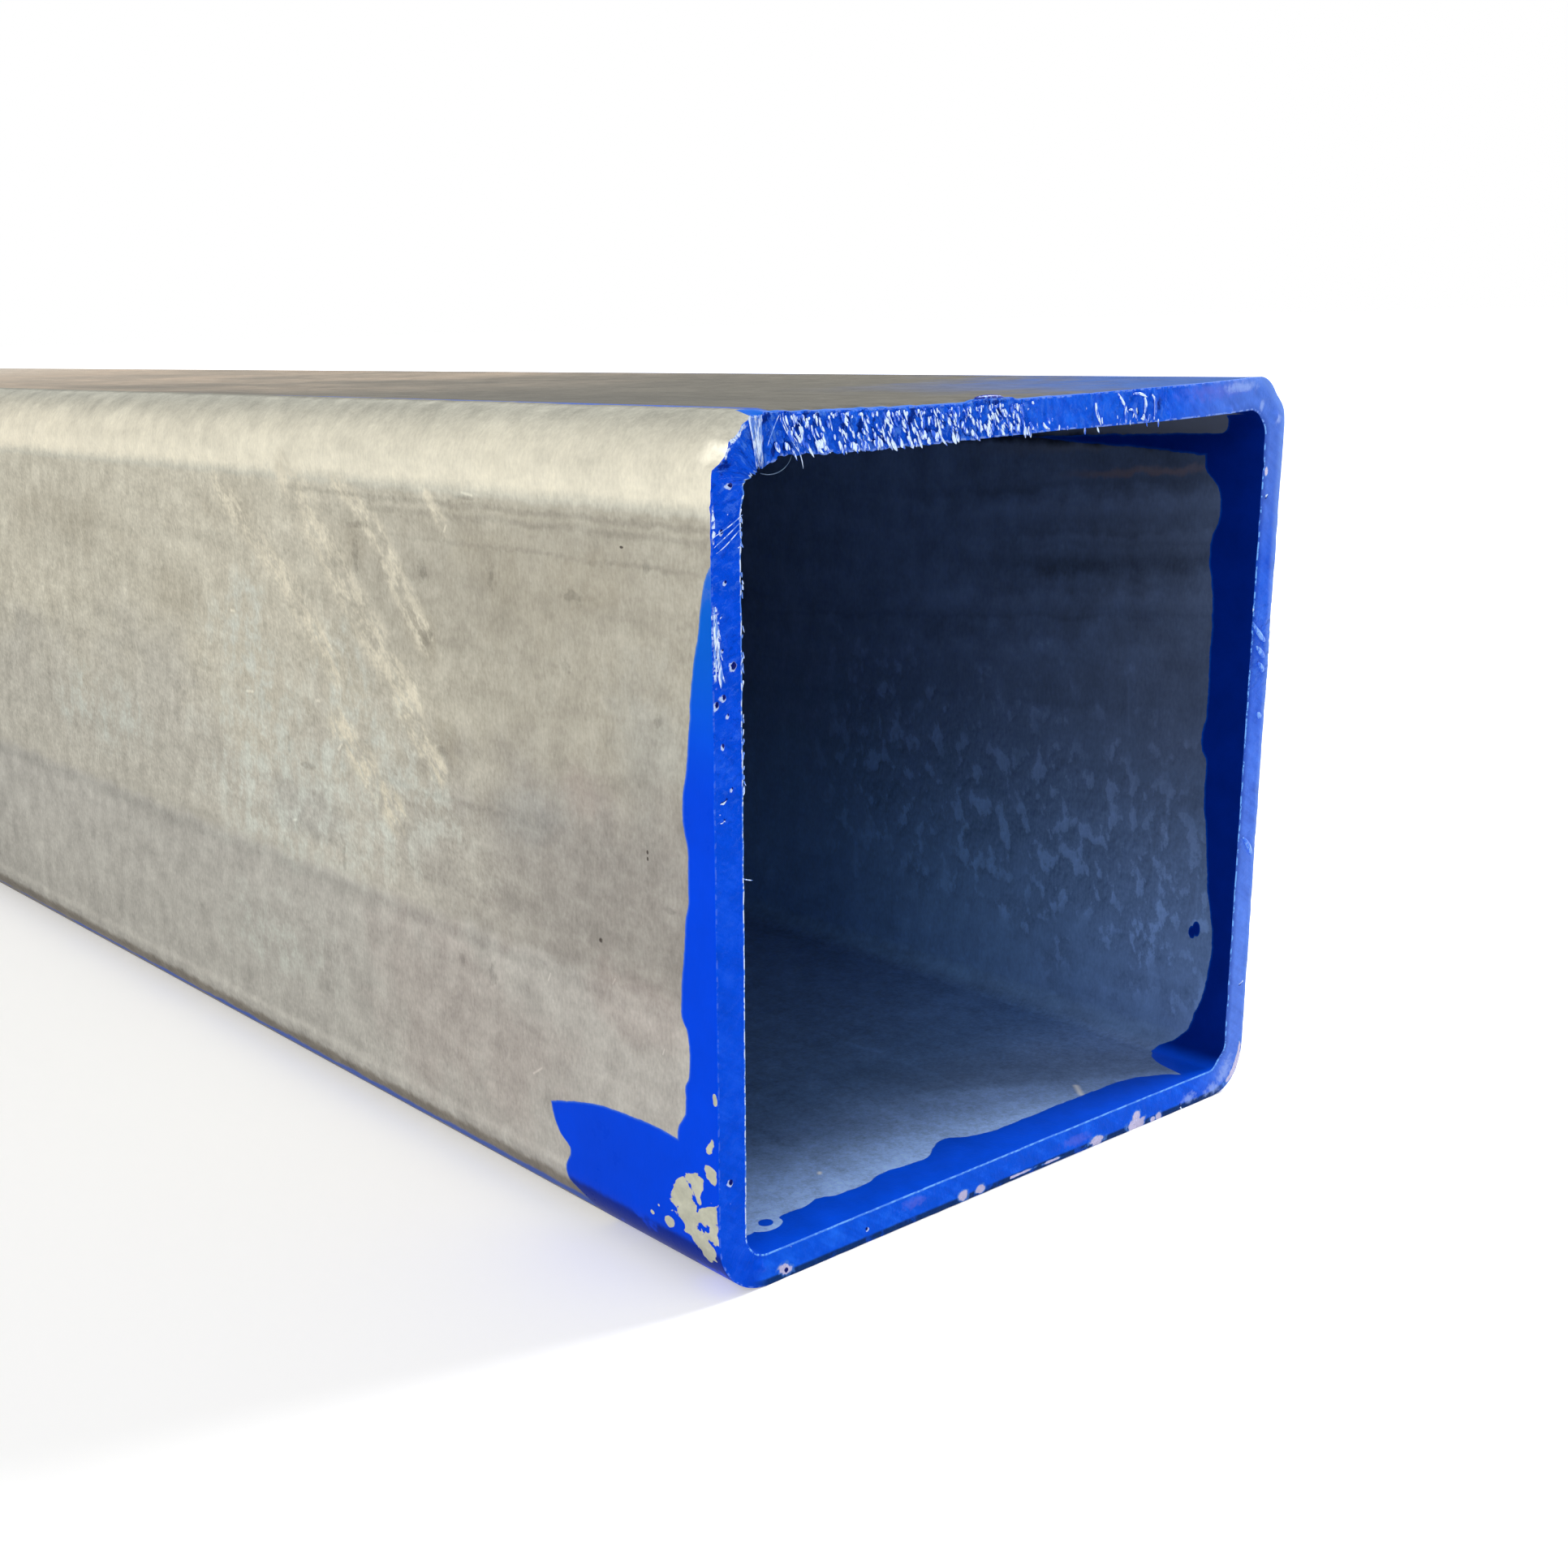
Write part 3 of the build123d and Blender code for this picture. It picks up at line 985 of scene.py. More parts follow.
def makePaintedCut():
    look, colour = cutLook, coloursIn(paintColours, cutLook)
    material, tree, shader = newMaterial("paintedCut", tint=1.0, specular=.02)
    skin = skinPlaces(tree)
    around, place = skin["round"], skin["place"]
    across = -skin["along"]
    skin["flat"] = put("CombineXYZ", {0: around, 1: across})[0]
    coarse = centred(grainy(place, 30, 4, .65))
    fineNoise = put("TexNoise", {"Vector": skin["flat"], "Scale": 105, "Detail": 2, "Roughness": .6})
    fine = centred(fineNoise["Fac"])
    bent = vector("ADD", fineNoise["Color"], (-.5, -.5, -.5))
    bent = vector("SCALE", bent, scale=.010)
    bent = vector("ADD", skin["flat"], bent)

    tornAt = shaped(around / loopSides, [(s / loopSides, t) for s, t in cutShape["tearing"]])
    topShare = between(around, onTop(.02), onTop(1.0), .06)
    rightShare = between(around, onTop(.92), onBottom(.95), .08)
    bottomShare = larger(rise(around, onRight(.02), onBottom(.94)),
                         rise(around, onBottom(.04), onBottom(.08)))
    brushed = centred(grainy(stretch(place, (7, 1, 1), turn=(0, .6, 0)), 90, 3, .62))
    deepTone = blend(bottomShare, colour["leftBlue"], colour["bottomBlue"])
    deepTone = blend(topShare, deepTone, colour["topBlue"])
    lightTone = blend(bottomShare, colour["hazy"], colour["bottomLight"])
    lightTone = blend(topShare, lightTone, colour["topLight"])
    lightTone = blend(rightShare, lightTone, colour["rightBlue"])
    # The top and right walls are paler: partly dust and partly a painted sheen.
    haze = topShare * .25 + rightShare * .60
    haze = haze + brushed * 1.1 + coarse * 1.3
    blue = blend(haze, deepTone, lightTone)
    corner = rise(abs(around - onTop(.99)), .42, .04)
    blue = blend(rise(corner, .45, 1) * .60, blue, colour["greyed"])
    # A painted highlight along the right wall's outer edge, and the wall paler lower down.
    edgeWay = coarse * .014 + across
    paleRimHighlight = rightShare * rise(edgeWay, .016, .001)
    lowPale = rightShare * rise(around, onRight(.80), onRight(.20), 0, .50)
    blue = blend(larger(paleRimHighlight * .75, lowPale), blue, colour["pale"])
    lowRim = rightShare * rise(across, .030, .040)
    blue = blend(lowRim * .45, blue, colour["dark"])
    # Painted shade along the bottom wall's outer edge.
    lowEdgeShade = bottomShare * rise(across, .0105, .0068)
    lowEdgeShade = lowEdgeShade * rise(coarse, -.16, -.04, .45, 1.0)
    blue = blend(lowEdgeShade * .92, blue, colour["edgeShade"])
    blue = tinted(blue, coarse + brushed, .45)

    # Slivers lean across the torn wall as painted glints, each with a painted shadow beside it.
    tornPatch = tornAt * rise(coarse, -.10, .02)
    leaning = {"longer": (1, 3.2, 1), "turn": (0, 0, -.40)}
    tall = {"Place": stretch(bent, **leaning), "Scale": 105, "Share": tornAt * .55, "Size": .17}
    beside = {**tall, "Place": stretch(bent, **leaning, shift=(.0026, .0014, 0))}
    slivers = useGroup(scatteredSpecks, tall)["Mask"]
    sliverShadows = useGroup(scatteredSpecks, beside)["Mask"]
    # The shreds' dark parts and the hollow places get painted shade, their light parts soft painted glints.
    shreds = grainy(stretch(bent, (1, 3, 1), turn=(0, 0, -.3)), 150, 3, .62)
    shadow = larger(sliverShadows, rise(shreds, .43, .33) * tornPatch)
    hollows = placedSpots(skin, look["hollows"], fine * 2.0, .5)
    shadow = larger(shadow, hollows * rise(shreds, .66, .50))
    softGlint = rise(shreds, .52, .64) * tornAt

    lobes = fine * 1.8
    chipHalo = placedSpots(skin, look["chips"], lobes + .35, .5)
    chips = placedSpots(skin, look["chips"], fine, .25)
    ring = placedSpots(skin, [look["ring"]], fine, .4)
    pinkSpots = placedSpots(skin, look["pinkSpots"], lobes, .9)
    paleSpots = placedSpots(skin, look["paleSpots"], lobes, .9)
    scrapes = placedSpots(skin, look["scrapes"], lobes, .5)
    hairy = rise(grainy(stretch(bent, (1, 9, 1), turn=(0, 0, -.1)), 210, 2, .6), .40, .54)
    scrapes = scrapes * hairy
    pits = placedSpots(skin, look["pits"], lobes, .3)
    aside = {**skin, "flat": vector("ADD", skin["flat"], (-.0016, -.0012, 0))}
    pitShade = placedSpots(aside, look["pits"], lobes - .25, .3)
    lone = {"Place": place, "Scale": 58, "Share": .09, "Size": .09}
    loneSpecks = useGroup(scatteredSpecks, lone)["Mask"]
    # Thin painted highlights along the inner and outer edges of the cut, dashed in places.
    innerGap = abs(wallSides - .0010 - across)
    leftShare = between(around, onLeft(.06), onLeft(.97), .02)
    dashed = rise(fine, -.04, .05)
    rimShare = slide(larger(leftShare, bottomShare), dashed, dashed * .50 + .45)
    innerRimHighlight = rise(innerGap, .0017, .0008) * rimShare
    innerRimHighlight = innerRimHighlight * (topShare * -.30 + .95)
    brightRimGlint = leftShare * dashed
    outerGap = abs(.0012 - across)
    outerRimHighlight = rise(outerGap, .0015, .0006) * rise(fine, -.04, .08)
    outerRimHighlight = outerRimHighlight * slide(bottomShare, slide(leftShare, .75, .30), 0.0)

    rimHighlightTone = blend(brightRimGlint, blend(topShare, colour["lowRimBlue"], colour["rimBlue"]), colour["glint"])
    finished = layered(blue, [
        (softGlint * .6, colour["softGlint"]),
        (shadow * .8, colour["shadow"]),
        (outerRimHighlight * .8, colour["pale"]),
        (innerRimHighlight, rimHighlightTone),
        (pinkSpots * .40, colour["pinkChip"]),
        (paleSpots * .80, colour["rimBlue"]),
        (chipHalo * .8, colour["chipHalo"]),
        (chips * .9, tinted(colour["bareChip"][:3], coarse, .8)),
        (pits * .7, colour["glint"]),
        (pitShade, colour["shadow"]),
        (ring, colour["shadow"]),
        (larger(scrapes, slivers), colour["glint"]),
        (loneSpecks * .5, colour["pale"]),
    ])

    bareShare = larger(chips, scrapes)
    metallic = bareShare * .3
    roughness = coarse * .3 + .27
    relief = shreds * (tornAt * .45 + .04)
    finishSurface(shader, finished, metallic, roughness, relief)
    return material


paintedCut = makePaintedCut()
print("painted cut made")


# The inside: dark unpolished steel, with paint that ran in from the cut.
insideLook = {
    "mill": {"Lines": .26, "Strokes": .34, "Grain": .40},
    "upper": (70, 84, 112), "upperDeep": (86, 112, 156),
    "lower": (100, 129, 175), "lowerDeep": (112, 158, 214),
    # the floor near the mouth, lighter as a painted pool of light, and deeper in
    "floor": (166, 200, 255), "floorDeep": (104, 140, 190),
    "topPale": (98, 106, 124), "farMetal": (132, 131, 126),
    "streak": (118, 104, 108),
    # the painted shadow in the inside corner under the top
    "topDark": (8, 14, 34),
    "fleck": (250, 252, 255),
    # how far the paint reaches in along the right flat at each height, and along the bottom flat
    "rightReach": [(-.10, 0), (-.087, .012), (-.080, .034), (-.074, .061), (-.064, .083), (-.046, .101),
        (-.025, .108), (-.006, .108), (.016, .100), (.032, .090), (.058, .079), (.086, .066),
        (.110, .057), (.1287, .049), (.1694, .0418), (.215, .0371), (.2666, .0438), (.3122, .0514),
        (.3727, .0566), (.4242, .0647), (.4747, .065), (.5054, .0749), (.5559, .0678), (.6271, .0707),
        (.6676, .0684), (.7279, .0741), (.7586, .0792), (.7892, .0764), (.8139, .0668), (.8396, .0669),
        (.8653, .0827), (.888, .0955), (.9176, .083), (.9412, .0636), (1, .058), (1.05, .06)],
    "bottomReach": [(-.05, .02), (.0013, .0413), (.0963, .0553), (.1357, .0553), (.1529, .0672),
        (.1922, .0653), (.2204, .0712), (.2476, .0633), (.2929, .0633), (.3321, .0713), (.3874, .0654),
        (.4376, .0812), (.4626, .0911), (.4937, .0773), (.5547, .0654), (.6107, .0664), (.6985, .0664),
        (.7851, .0640), (.8229, .0600), (.845, .050), (.873, .036), (.887, .021), (.90, .020),
        (1.05, .02)],
    # streaks along the inside: where round, how wide, how far in they start and end, darker below 0
    "bands": rollsOn(onRight, [(.8437, .022, .0, .50, .26), (.7993, .010, .0, .40, .14),
        (.7598, .024, .0, .45, -.32), (.7103, .018, .02, .55, .16), (.6856, .007, .05, 1.0, -.10),
        (.6362, .020, .05, .7, .10), (.557, .012, .02, 1.4, -.06), (.8733, .010, .05, .6, -.14)]) +
        rollsOn(onTop, [(.80, .012, .05, .6, .2), (.3, .016, .1, 4, -.12)]) +
        rollsOn(onBottom, [(.3, .012, .1, 4, -.12), (.62, .010, .05, 3, .10)]) +
        rollsOn(onLeft, [(.4, .014, .1, 4, .12)]),
    "flecks": linesOn(onBottom, [(.7407, .0940, .7210, .0690, .0075),
        (.2728, .1246, .2700, .1220, .0050)]),
    # upright strokes on the right wall
    "strokes": linesOn(onRight, [(.5769, .2034, .4977, .1971, .005), (.3093, .065, .2299, .0666, .004),
        (.2411, .7503, .1716, .7501, .010), (.4283, .1224, .3589, .124, .006)]),
}


def makeInsideSteel():
    look, colour = insideLook, coloursIn(paintColours, insideLook)
    material, tree, shader = newMaterial("insideSteel", tint=.6, specular=.08)
    skin = skinPlaces(tree)
    around, place = skin["round"], skin["place"]
    inward = -skin["along"] - wallSides
    skin["flat"] = put("CombineXYZ", {0: around, 1: inward})[0]
    mill = useGroup(millSurface, {"Place": place, **look["mill"]})
    coarse = centred(flatGrain(skin["flat"], 17, 4, .62))

    heightRight = onRight(0) - around
    pastSeam = calc("LESS_THAN", around, 1)
    acrossBottom = slide(pastSeam, onBottom(1) + 1, .5) - around
    onRightFlat = between(around, onRight(1.0), onRight(0), .03)
    onBottomFlat = larger(rise(around, onRight(.03), onBottom(.93)),
                          rise(around, onBottom(.045), onBottom(.085)))

    low = rise(coarse * .3 + heightRight, .58, .06)
    depth = rise(coarse * .3 + inward, .05, .80)
    metal = blend(depth, blend(low, colour["upper"], colour["lower"]),
                  blend(low, colour["upperDeep"], colour["lowerDeep"]))
    # The floor is lighter and bluer near the mouth: a painted pool of light.
    floorPoolTone = blend(rise(coarse * .1 + inward, .02, .35), colour["floor"], colour["floorDeep"])
    # Painted shade on the floor near the right wall at the mouth.
    cornerShade = rise(acrossBottom, .50, .86) * rise(inward, .42, .08)
    # Past a slanting line on the floor it is darker for a short way: a painted shadow at the edge of the
    # pool of light.
    pastLine = inward + (acrossBottom * .55 - .516)
    poolEdgeShadow = rise(pastLine, -.012, .028) * rise(pastLine, .20, .06)
    poolEdgeShadow = poolEdgeShadow * rise(acrossBottom, .46, .60)
    floorPoolTone = tinted(floorPoolTone, poolEdgeShadow * .8 + cornerShade, -.30)
    metal = blend(onBottomFlat, metal, floorPoolTone)
    metal = blend(rise(inward, 1.3, 2.6), metal, colour["farMetal"])

    # Dull lumps on the right wall, with painted light and shade as if lit from above, and a frosted grain
    # on the floor.
    lumps = flatGrain(stretch(skin["flat"], (1.5, 1, 1)), 34, 4, .62)
    lumpsAbove = flatGrain(stretch(skin["flat"], (1.5, 1, 1), shift=(-.004, .002, 0)), 34, 4, .62)
    drift = inward * .15 + .28 + coarse * .45
    pebbled = rise(abs(heightRight - drift), .24, .04)
    pebbled = pebbled * onRightFlat * between(inward, .02, .80, .12)
    lumpShading = (lumpsAbove - lumps) * 1.3 + rise(lumps, .52, .62, -.06, .52)
    tone = (pebbled * .9 + .10) * lumpShading + mill["Tone"]
    frost = centred(grainy(place, 130, 3, .7))
    tone = frost * (onBottomFlat * .75 + .15) + tone
    tone = coarse * .5 + tone
    leaning = inward * onRightFlat
    bandPlace = coarse * .03 + around + leaning * -.09
    for lineRound, width, first, last, gain in look["bands"]:
        line = nearTo(bandPlace, lineRound, width) * between(inward, first, last, .15)
        tone = line * gain + tone
    tone = streaks(skin, look["strokes"]) * .16 + tone
    metal = tinted(metal, tone)
    underTop = between(bandPlace, onTop(.80), onRight(.925), .008)
    metal = blend(underTop * rise(inward, .6, .1), metal, colour["topPale"])
    # A painted shadow along the inside corner under the top, on the right wall.
    cornerShadowLine = nearTo(coarse * .02 + around, onRight(.912), .014)
    metal = blend(cornerShadowLine * .85, metal, colour["topDark"])
    streak = nearTo(bandPlace, onRight(.888), .009) * between(inward, .09, .30, .06)
    metal = blend(streak * .5, metal, colour["streak"])
    metal = blend(streaks(skin, look["flecks"]) * .9, metal, colour["fleck"])

    # The paint's reach on the right and the bottom, loose elsewhere, with a long tip under the top bend.
    curveRight = [((z + .10) / 1.15, y * 5) for z, y in look["rightReach"]]
    curveBottom = [((x + .05) / 1.1, y * 5) for x, y in look["bottomReach"]]
    rightReach = shaped(heightRight * (1 / 1.15) + .10 / 1.15, curveRight)
    bottomReach = shaped(acrossBottom * (1 / 1.1) + .05 / 1.1, curveBottom)
    section = vector("MULTIPLY", place, (1, 0, 1))
    loose = grainy(section, 5, 3, .6) * .12 - .002
    onRightHalf = between(around, onTop(.97), onRight(-.09), .01)
    onBottomHalf = larger(calc("GREATER_THAN", around, onRight(.07)), calc("LESS_THAN", around, .52))
    reach = slide(larger(onRightHalf, onBottomHalf), loose, 0.0)
    reach = larger(reach, rightReach * .2 * onRightHalf)
    reach = larger(reach, bottomReach * .2 * onBottomHalf)
    field = reach - inward
    tipGap = abs(around - onRight(.912))
    tip = inward * -.045 + .019 - tipGap
    field = larger(field, tip)
    loop = spotField(skin, (onBottom(.1216), .0613), (.024, .016))
    field = smaller(field, loop * -.03)
    for spot in (((onRight(.2329), .0640), (.011, .0060)), ((onRight(.2265), .0715), (.009, .0060)),
                 ((onBottom(.1256), .0652), (.010, .008))):
        field = larger(field, spotField(skin, *spot) * .01)
    film = useGroup(paintEdge, {"Field": field, "Place": place, "Ragged": .0050, "Fringe": .004})
    cover = film["Cover"]
    # Paint on the floor is lighter than on the walls: painted light on the floor and painted shade on the
    # walls.
    floorPaint = rise(acrossBottom, 1.0, .93)
    blue = blend(onBottomHalf * floorPaint, colour["inside"], colour["floorBlue"])
    blue = blend(film["Fringe"] * .3, blue, colour["bright"])
    blue = tinted(blue, coarse, .5)
    finished = blend(cover, metal, blue)

    metallic = (1 - cover) * .30
    roughness = slide(cover, mill["Shine"] * .3 + .5, .30)
    finishSurface(shader, finished, metallic, roughness, mill["Height"] * .014)
    return material


insideSteel = makeInsideSteel()
print("inside steel made")


# The far end is a plain sawn cut.
def makeBareCut():
    # Saw marks run across the whole section in one direction.
    material, tree, shader = newMaterial("bareCut", tint=.8, specular=.5)
    place = skinPlaces(tree)["place"]
    marks = centred(grainy(stretch(place, (22, 1, 1), turn=(0, .12, 0)), 120, 3, .6, .2))
    broad = centred(grainy(stretch(place, (12, 1, 1), turn=(0, .12, 0)), 22, 2, .5))
    cloud = centred(grainy(place, 6, 4, .6))
    tone = broad * .35 + marks * .55
    tone = cloud * .25 + tone
    metal = tinted(display(176, 174, 168)[:3], tone)
    roughness = marks * .25 + .36
    relief = marks * .05 + broad * .03
    finishSurface(shader, metal, .9, roughness, relief)
    return material


bareCut = makeBareCut()
print("bare cut made")

for material in (outsideSteel, paintedCut, insideSteel, bareCut):
    tube.data.materials.append(material)
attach(tube, "root")
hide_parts("square_tube")
print("tube dressed")


# Burrs and hairs that the saw pulled out of the cut. Places are x and z in sides on the painted end.
# A set scatters its fibres about the line between two places: its length is in sides, its heading in
# degrees, and its width and its way out of the cut, at the root and more at the tip, are in metres.
# Single strands are each drawn by four points that pull them along.
burrPieces = {
    "sawHairs": {
        "material": ("burrSteel", (206, 224, 250), (96, 142, 228), .50),
        "seed": 11,
        "sets": [
            # a fan at the upper left corner, hairs at the left edge, flecks on its inner edge
            {"count": 34, "from": (.0502, .9918), "to": (.0683, .9916), "length": (.042, .054),
             "heading": (-75, -88), "fan": True, "bend": .06, "width": .000032, "flat": 1.0,
             "out": (.00012, .00002)},
            {"count": 22, "from": (.0023, .8026), "to": (.0095, .7377), "length": (.012, .030),
             "heading": (-112, -80), "bend": .25, "width": .00008, "flat": 1.0,
             "out": (.00012, .00003)},
            {"count": 34, "from": (.0393, .9019), "to": (.0403, .6027), "length": (.003, .008),
             "heading": (-105, -70), "bend": .2, "width": .00007, "flat": .6,
             "out": (.00010, .00002)}],
        "width": .00005,
        "lift": .00014,
        "strands": [[(.0981, .9945), (.1007, .9734), (.1169, .9707), (.1199, .9607)],
            [(.1182, .9621), (.1219, .9508), (.1257, .9483), (.1275, .9358)],
            [(.0943, .9938), (.0993, .9759), (.1119, .9658), (.1244, .9496)],
            [(.1188, .9844), (.1269, .9793), (.1279, .9731), (.1189, .9687)],
            [(.0931, .9921), (.0868, .9834), (.0806, .9711), (.0773, .9625)],
            [(.0414, .8949), (.0293, .887), (.0143, .8802), (.0022, .8753)],
            [(.0414, .8899), (.0293, .8801), (.0113, .8703), (.0023, .8644)],
            [(.0404, .882), (.0294, .8741), (.0193, .8642), (.0053, .8584)],
            [(.0385, .5047), (.0417, .5027), (.0471, .5011), (.0521, .5001)],
            [(.1439, .968), (.1474, .9625), (.1469, .9585), (.1494, .9515)]],
    },
    "burrSlivers": {
        "material": ("burrPaint", (212, 232, 252), (40, 98, 222), .50),
        "seed": 31,
        "sets": [
            # slivers over the torn top wall, longer ones low on it, dots on its edge, a few further on
            {"count": 190, "from": (.100, .982), "to": (.475, .981), "spread": .012,
             "length": (.005, .015), "heading": (-80, -52), "bend": .35, "width": .00010, "flat": .5,
             "out": (.00014, .00003)},
            {"count": 70, "from": (.085, .9615), "to": (.49, .9690), "spread": .0045,
             "length": (.008, .0170), "heading": (-72, -46), "bend": .3, "width": .00017, "flat": .40,
             "out": (.00016, .00003)},
            {"count": 60, "from": (.0893, .9925), "to": (.4979, .9915), "spread": .002,
             "length": (.0025, .006), "heading": (-100, -40), "bend": .2, "width": .00013, "flat": .6,
             "out": (.00014, .00003)},
            {"count": 22, "from": (.4981, .9655), "to": (.7256, .9665), "spread": .008,
             "length": (.004, .010), "heading": (-100, -60), "bend": .2, "width": .00010, "flat": .5,
             "out": (.00012, .00003)}],
        "width": .00014,
        "lift": .00020,
        "strands": [[(.6055, .9819), (.607, .9707), (.611, .9657), (.617, .9558)],
            [(.6464, .991), (.6564, .9825), (.6614, .9751), (.6673, .9676)],
            [(.6627, .9726), (.6634, .9671), (.6644, .9612), (.6644, .9553)],
            [(.6688, .971), (.6811, .9724), (.6812, .965), (.6862, .9575)],
            [(.6761, .9892), (.6909, .9905), (.6958, .987), (.7033, .9845)],
            [(.6983, .9845), (.7033, .9771), (.7009, .9697), (.6997, .9648)],
            [(.7131, .9869), (.7243, .9793), (.7206, .9695), (.7195, .9597)],
            [(.6936, .9599), (.699, .9579), (.7039, .9569), (.7084, .9561)],
            [(.511, .9638), (.514, .9588), (.5179, .9568), (.5229, .9562)]],
    },
    "burrRidges": {
        "material": ("burrFilm", (120, 168, 240), (60, 116, 226), .50),
        "width": .00028,
        "lift": .00030,
        "strands": [[(.986, .6515), (.9791, .6565), (.9692, .6645), (.9563, .6804)],
            [(.9862, .6288), (.9842, .6328), (.9743, .6417), (.9684, .6467)],
            [(.9864, .6091), (.9844, .615), (.9794, .619), (.9754, .6239)],
            [(.9886, .3516), (.9846, .3596), (.9766, .3715), (.9667, .3795)],
            [(.9869, .5448), (.9859, .5478), (.9849, .5507), (.9819, .5537)]],
    },
    "topTab": {
        "material": ("burrTab", (120, 156, 236), (8, 36, 142), .40),
        "width": .00026,
        "lift": .00062,
        "strands": [[(.398, .9950), (.408, .9962), (.434, .9962), (.447, .9950)]],
    },
    "hangingLoop": {
        "material": ("loopFilm", (70, 92, 112), (50, 72, 104), .50),
        "width": .00005,
        "lift": .00020,
        "strands": [[(.0674, .9352), (.0819, .9303), (.1044, .9331), (.1119, .9509)]],
    },
}


def fibreShells(middle, radius, flat):
    # Round each middle line goes an ellipse that thins towards both ends, closed by a point at each end.
    # Its first axis lies square to the line in the cut's plane, its second points out of the cut.
    count, rings = middle.shape[:2]
    sides = 5
    ahead = np.gradient(middle, axis=1)
    acrossAxis = np.stack([-ahead[..., 2], 0 * ahead[..., 1], ahead[..., 0]], -1)
    acrossAxis = (acrossAxis / np.linalg.norm(acrossAxis, axis=-1, keepdims=True))[:, :, None, :]
    turn = (np.arange(sides) / sides * 2 * np.pi)[None, None, :, None]
    ring = np.cos(turn) * acrossAxis + flat * np.sin(turn) * np.array([0, 1, 0])
    taper = np.sin(np.pi * (.12 + .86 * np.linspace(0, 1, rings))) ** .6
    shell = middle[:, :, None, :] + (radius[:, None] * taper)[:, :, None, None] * ring
    points = np.concatenate([shell.reshape(count, -1, 3), middle[:, [0, -1], :]], 1)
    justInside = -halfLength + 2e-6
    points[..., 1] = np.maximum(points[..., 1], justInside)

    a = (np.arange(rings - 1)[:, None] * sides + np.arange(sides)[None, :]).reshape(-1)
    b = (np.arange(rings - 1)[:, None] * sides + (np.arange(sides)[None, :] + 1) % sides).reshape(-1)
    quads = np.stack([a, b, b + sides, a + sides], 1)
    side0, side1 = np.arange(sides), (np.arange(sides) + 1) % sides
    startPoint, endPoint = rings * sides, rings * sides + 1
    lastRing = (rings - 1) * sides
    caps = np.concatenate([np.stack([side1, side0, side0 * 0 + startPoint], 1),
                           np.stack([lastRing + side0, lastRing + side1, side0 * 0 + endPoint], 1)])
    step = (np.arange(count) * points.shape[1])[:, None, None]
    return points.reshape(-1, 3), (quads[None] + step).reshape(-1, 4), (caps[None] + step).reshape(-1, 3)


def bentFibres(settings, seed):
    # Each middle line is a parabola: its start, plus its heading times the way, plus the bend times
    # the way squared sideways. In a fan the heading turns with the place of the start. Those over
    # the top wall sink with it, and none leaves the tube's outline.
    draw = np.random.default_rng(seed)
    count, rings = settings["count"], 8
    first, last = np.array(settings["from"]), np.array(settings["to"])
    share = draw.random(count)
    spread = settings.get("spread", .001) * draw.uniform(-1, 1, count)
    startX = first[0] + (last[0] - first[0]) * share
    startZ = first[1] + (last[1] - first[1]) * share + spread
    length = draw.uniform(*settings["length"], count) * side
    angles = settings["heading"]
    fanned = angles[0] + (angles[1] - angles[0]) * share + draw.normal(0, 1.5, count)
    heading = np.radians(fanned if settings.get("fan") else draw.uniform(*angles, count))
    bend = settings["bend"] * draw.uniform(-.4, 1, count)
    width = settings["width"] * draw.uniform(.6, 1.5, count)
    lift = settings["out"][0] * draw.uniform(.6, 1.2, count)
    way = np.linspace(0, 1, rings)[None, :]
    ahead = np.stack([np.cos(heading), np.sin(heading)], 1)
    along = (way + .04 * np.sin(7 * way + heading[:, None])) * length[:, None]
    over = bend[:, None] * way ** 2 * length[:, None]
    middleX = (startX * side - halfSide)[:, None] + along * ahead[:, :1] - over * ahead[:, 1:]
    middleZ = (startZ * side)[:, None] + along * ahead[:, 1:] + over * ahead[:, :1]
    overTop = 1 - np.clip(abs(middleX) / cornerReach, 0, 1) ** 4
    middleZ = middleZ - tubeShape["topSink"] * overTop * (middleZ > .9 * side)
    room = halfSide - 1.2 * width[:, None]
    middleX = np.clip(middleX, -room, room)
    middleZ = np.clip(middleZ, halfSide - room, halfSide + room)
    middleY = -halfLength + lift[:, None] + settings["out"][1] * way
    return fibreShells(np.stack([middleX, middleY, middleZ], -1), width, settings["flat"])


def drawnFibres(paths, width, lift):
    # Each middle line is the cubic curve that four points pull: the points weighted by (1-t)^3,
    # 3(1-t)^2 t, 3(1-t) t^2 and t^3 along the way t.
    pulls = np.array(paths)
    way = np.linspace(0, 1, 14)
    weights = np.stack([(1 - way) ** 3, 3 * (1 - way) ** 2 * way, 3 * (1 - way) * way ** 2, way ** 3])
    flatLine = np.einsum("kr,ckd->crd", weights, pulls) * side
    out = np.full(flatLine.shape[:2], -halfLength + lift)
    middle = np.stack([flatLine[..., 0] - halfSide, out, flatLine[..., 1]], -1)
    return fibreShells(middle, np.full(len(pulls), width), 1.0)


def makeBurrs(name, shells, material):
    # Joins the shells of all fibres in one mesh.
    vertices, faces, total = [], [], 0
    for points, quads, caps in shells:
        vertices.append(points)
        faces += (quads + total).tolist() + (caps + total).tolist()
        total += len(points)
    mesh = bpy.data.meshes.new(name)
    mesh.from_pydata(np.concatenate(vertices).tolist(), [], faces)
    mesh.polygons.foreach_set("use_smooth", np.ones(len(mesh.polygons), bool))
    mesh.materials.append(material)
    mesh.update()
    obj = addObject(name, mesh)
    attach(obj, "root")


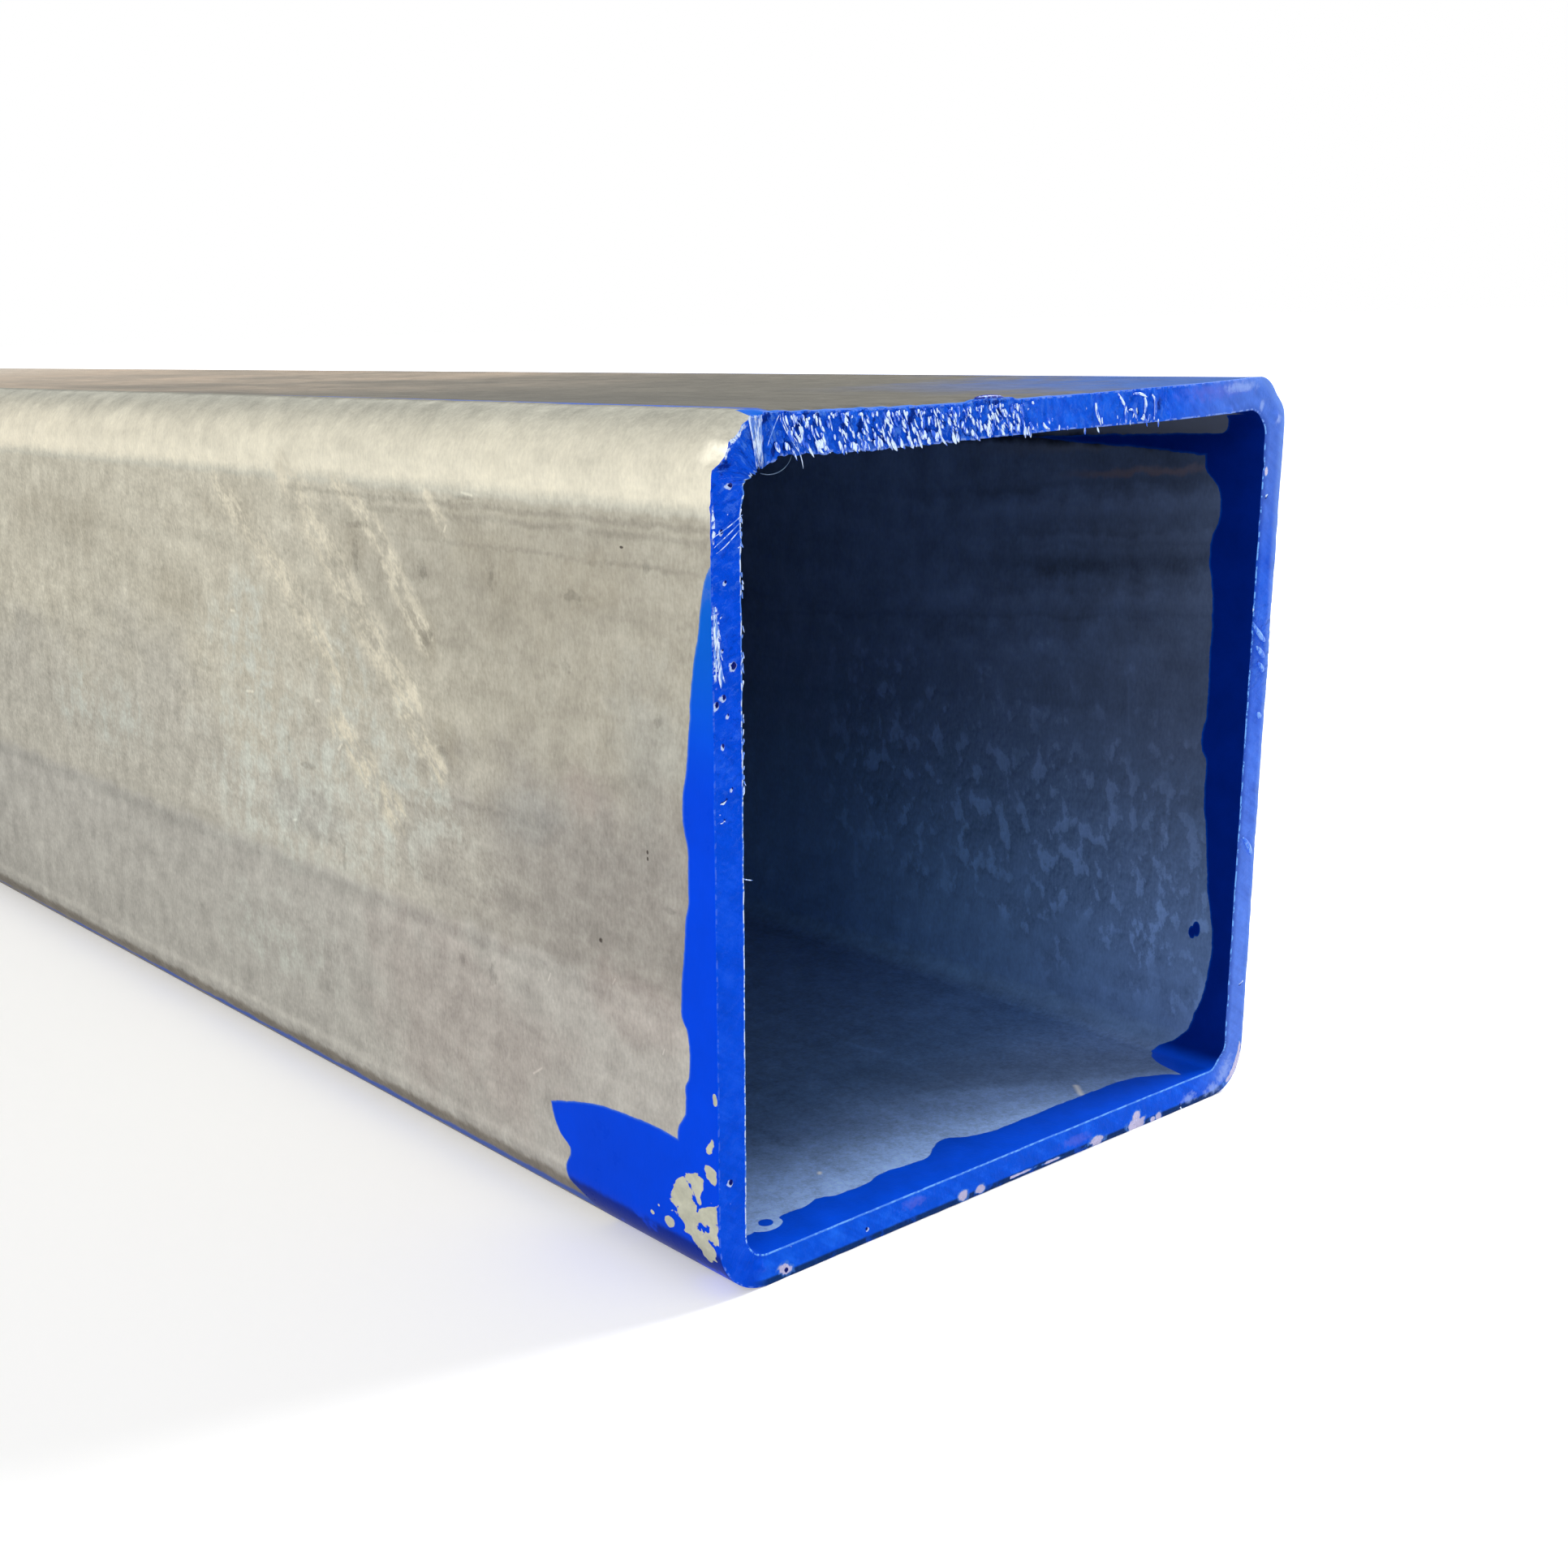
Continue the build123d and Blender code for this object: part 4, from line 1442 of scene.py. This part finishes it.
def makeBurrMaterial(name, bright, blue, limit):
    # Torn metal that the paint only partly covers: where a noise is above the limit.
    material, tree, shader = newMaterial(name, tint=1.0, specular=.3)
    place = skinPlaces(tree)["place"]
    covered = rise(grainy(stretch(place, (1, 1, 5)), 240, 2, .6), limit - .05, limit + .05)
    finished = blend(covered, display(*bright), display(*blue))
    tone = centred(grainy(place, 300, 2, .6))
    finishSurface(shader, tinted(finished, tone, .6), .10, .36, tone * .02)
    return material


for name, settings in burrPieces.items():
    shells = [bentFibres(group, settings["seed"] + k) for k, group in enumerate(settings.get("sets", []))]
    shells.append(drawnFibres(settings["strands"], settings["width"], settings["lift"]))
    makeBurrs(name, shells, makeBurrMaterial(*settings["material"]))
print("burrs made")


# Floor, light and camera.
studio = {
    "floorReach": 15.0,
    "floorWhite": .86,
    "floorLift": .30,           # for the camera and reflections only, so that the floor reaches white
    "liftGrows": (.45, 1.5),    # how far from the middle it starts to rise to 1, and is there
    "backdrop": 1.0,            # what the camera, gloss and glass see of the backdrop
    "fill": .55,                # what the same backdrop gives as light
    "lamps": {                  # place, what it is aimed at, width and power
        "keyLamp": ((.80, -.36, .80), (0, -.28, .03), .44, 13.5),
        "sideLamp": ((-1.25, -.75, .68), (0, -.15, .04), 1.0, 9.5),
    },
    "camera": {                 # its place is given in sides from the lower left corner of the painted end
        "place": (-1.3002, -1.5105, 1.0905), "yaw": 37.923, "pitch": 16.408, "roll": -1.500,
        "lens": 44.304, "shift": (.10, .0667)},
}


def seenRays(tree):
    # 1 for what the camera, gloss and glass see, 0 for the light that falls on the tube.
    path = put("LightPath", tree=tree)
    return larger(path["Is Camera Ray"], path["Is Glossy Ray"], path["Is Transmission Ray"])


def makeFloor():
    # A level square at z = 0, its corners one reach from the middle each way.
    reach = studio["floorReach"]
    corners = [(-reach, -reach, 0), (reach, -reach, 0), (reach, reach, 0), (-reach, reach, 0)]
    mesh = bpy.data.meshes.new("studioFloor")
    mesh.from_pydata(corners, [], [(0, 1, 2, 3)])
    material, tree, shader = newMaterial("floorWhite", specular=0)
    away = vector("LENGTH", put("TexCoord", tree=tree)["Object"])
    lift = rise(away, *studio["liftGrows"], studio["floorLift"], 1.0)
    feed(shader, {"Base Color": (studio["floorWhite"],) * 3 + (1,), "Roughness": .9,
                  "Emission Color": (1, 1, 1, 1), "Emission Strength": seenRays(tree) * lift})
    mesh.materials.append(material)
    addObject("studioFloor", mesh)


def makeWorld():
    world = bpy.data.worlds.new("studio")
    bpy.context.scene.world = world
    world.use_nodes = True
    tree = world.node_tree
    strength = slide(seenRays(tree), studio["fill"], studio["backdrop"])
    feed(tree.nodes["Background"], {"Color": (1, 1, 1, 1), "Strength": strength})


def makeLamp(name, place, aim, size, watts):
    data = bpy.data.lights.new(name, "AREA")
    data.shape = "DISK"
    data.size = size
    data.energy = watts
    lamp = addObject(name, data)
    lamp.location = place
    lamp.rotation_euler = (Vector(aim) - Vector(place)).to_track_quat("-Z", "Y").to_euler()


def makeCamera():
    view = studio["camera"]
    camera = bpy.data.cameras.new("camera")
    camera.lens = view["lens"]
    camera.sensor_width = 36
    camera.shift_x, camera.shift_y = view["shift"]
    camera.clip_start = .005
    obj = addObject("camera", camera)
    corner = Vector((-halfSide, -halfLength, 0))
    turn = Matrix.Rotation(math.radians(-view["yaw"]), 4, "Z")
    turn = turn @ Matrix.Rotation(math.radians(90 - view["pitch"]), 4, "X")
    turn = turn @ Matrix.Rotation(math.radians(view["roll"]), 4, "Z")
    obj.matrix_world = Matrix.Translation(corner + Vector(view["place"]) * side) @ turn
    bpy.context.scene.camera = obj


makeFloor()
makeWorld()
for name, settings in studio["lamps"].items():
    makeLamp(name, *settings)
makeCamera()
bpy.context.scene.view_settings.view_transform = "Standard"
print("studio made")
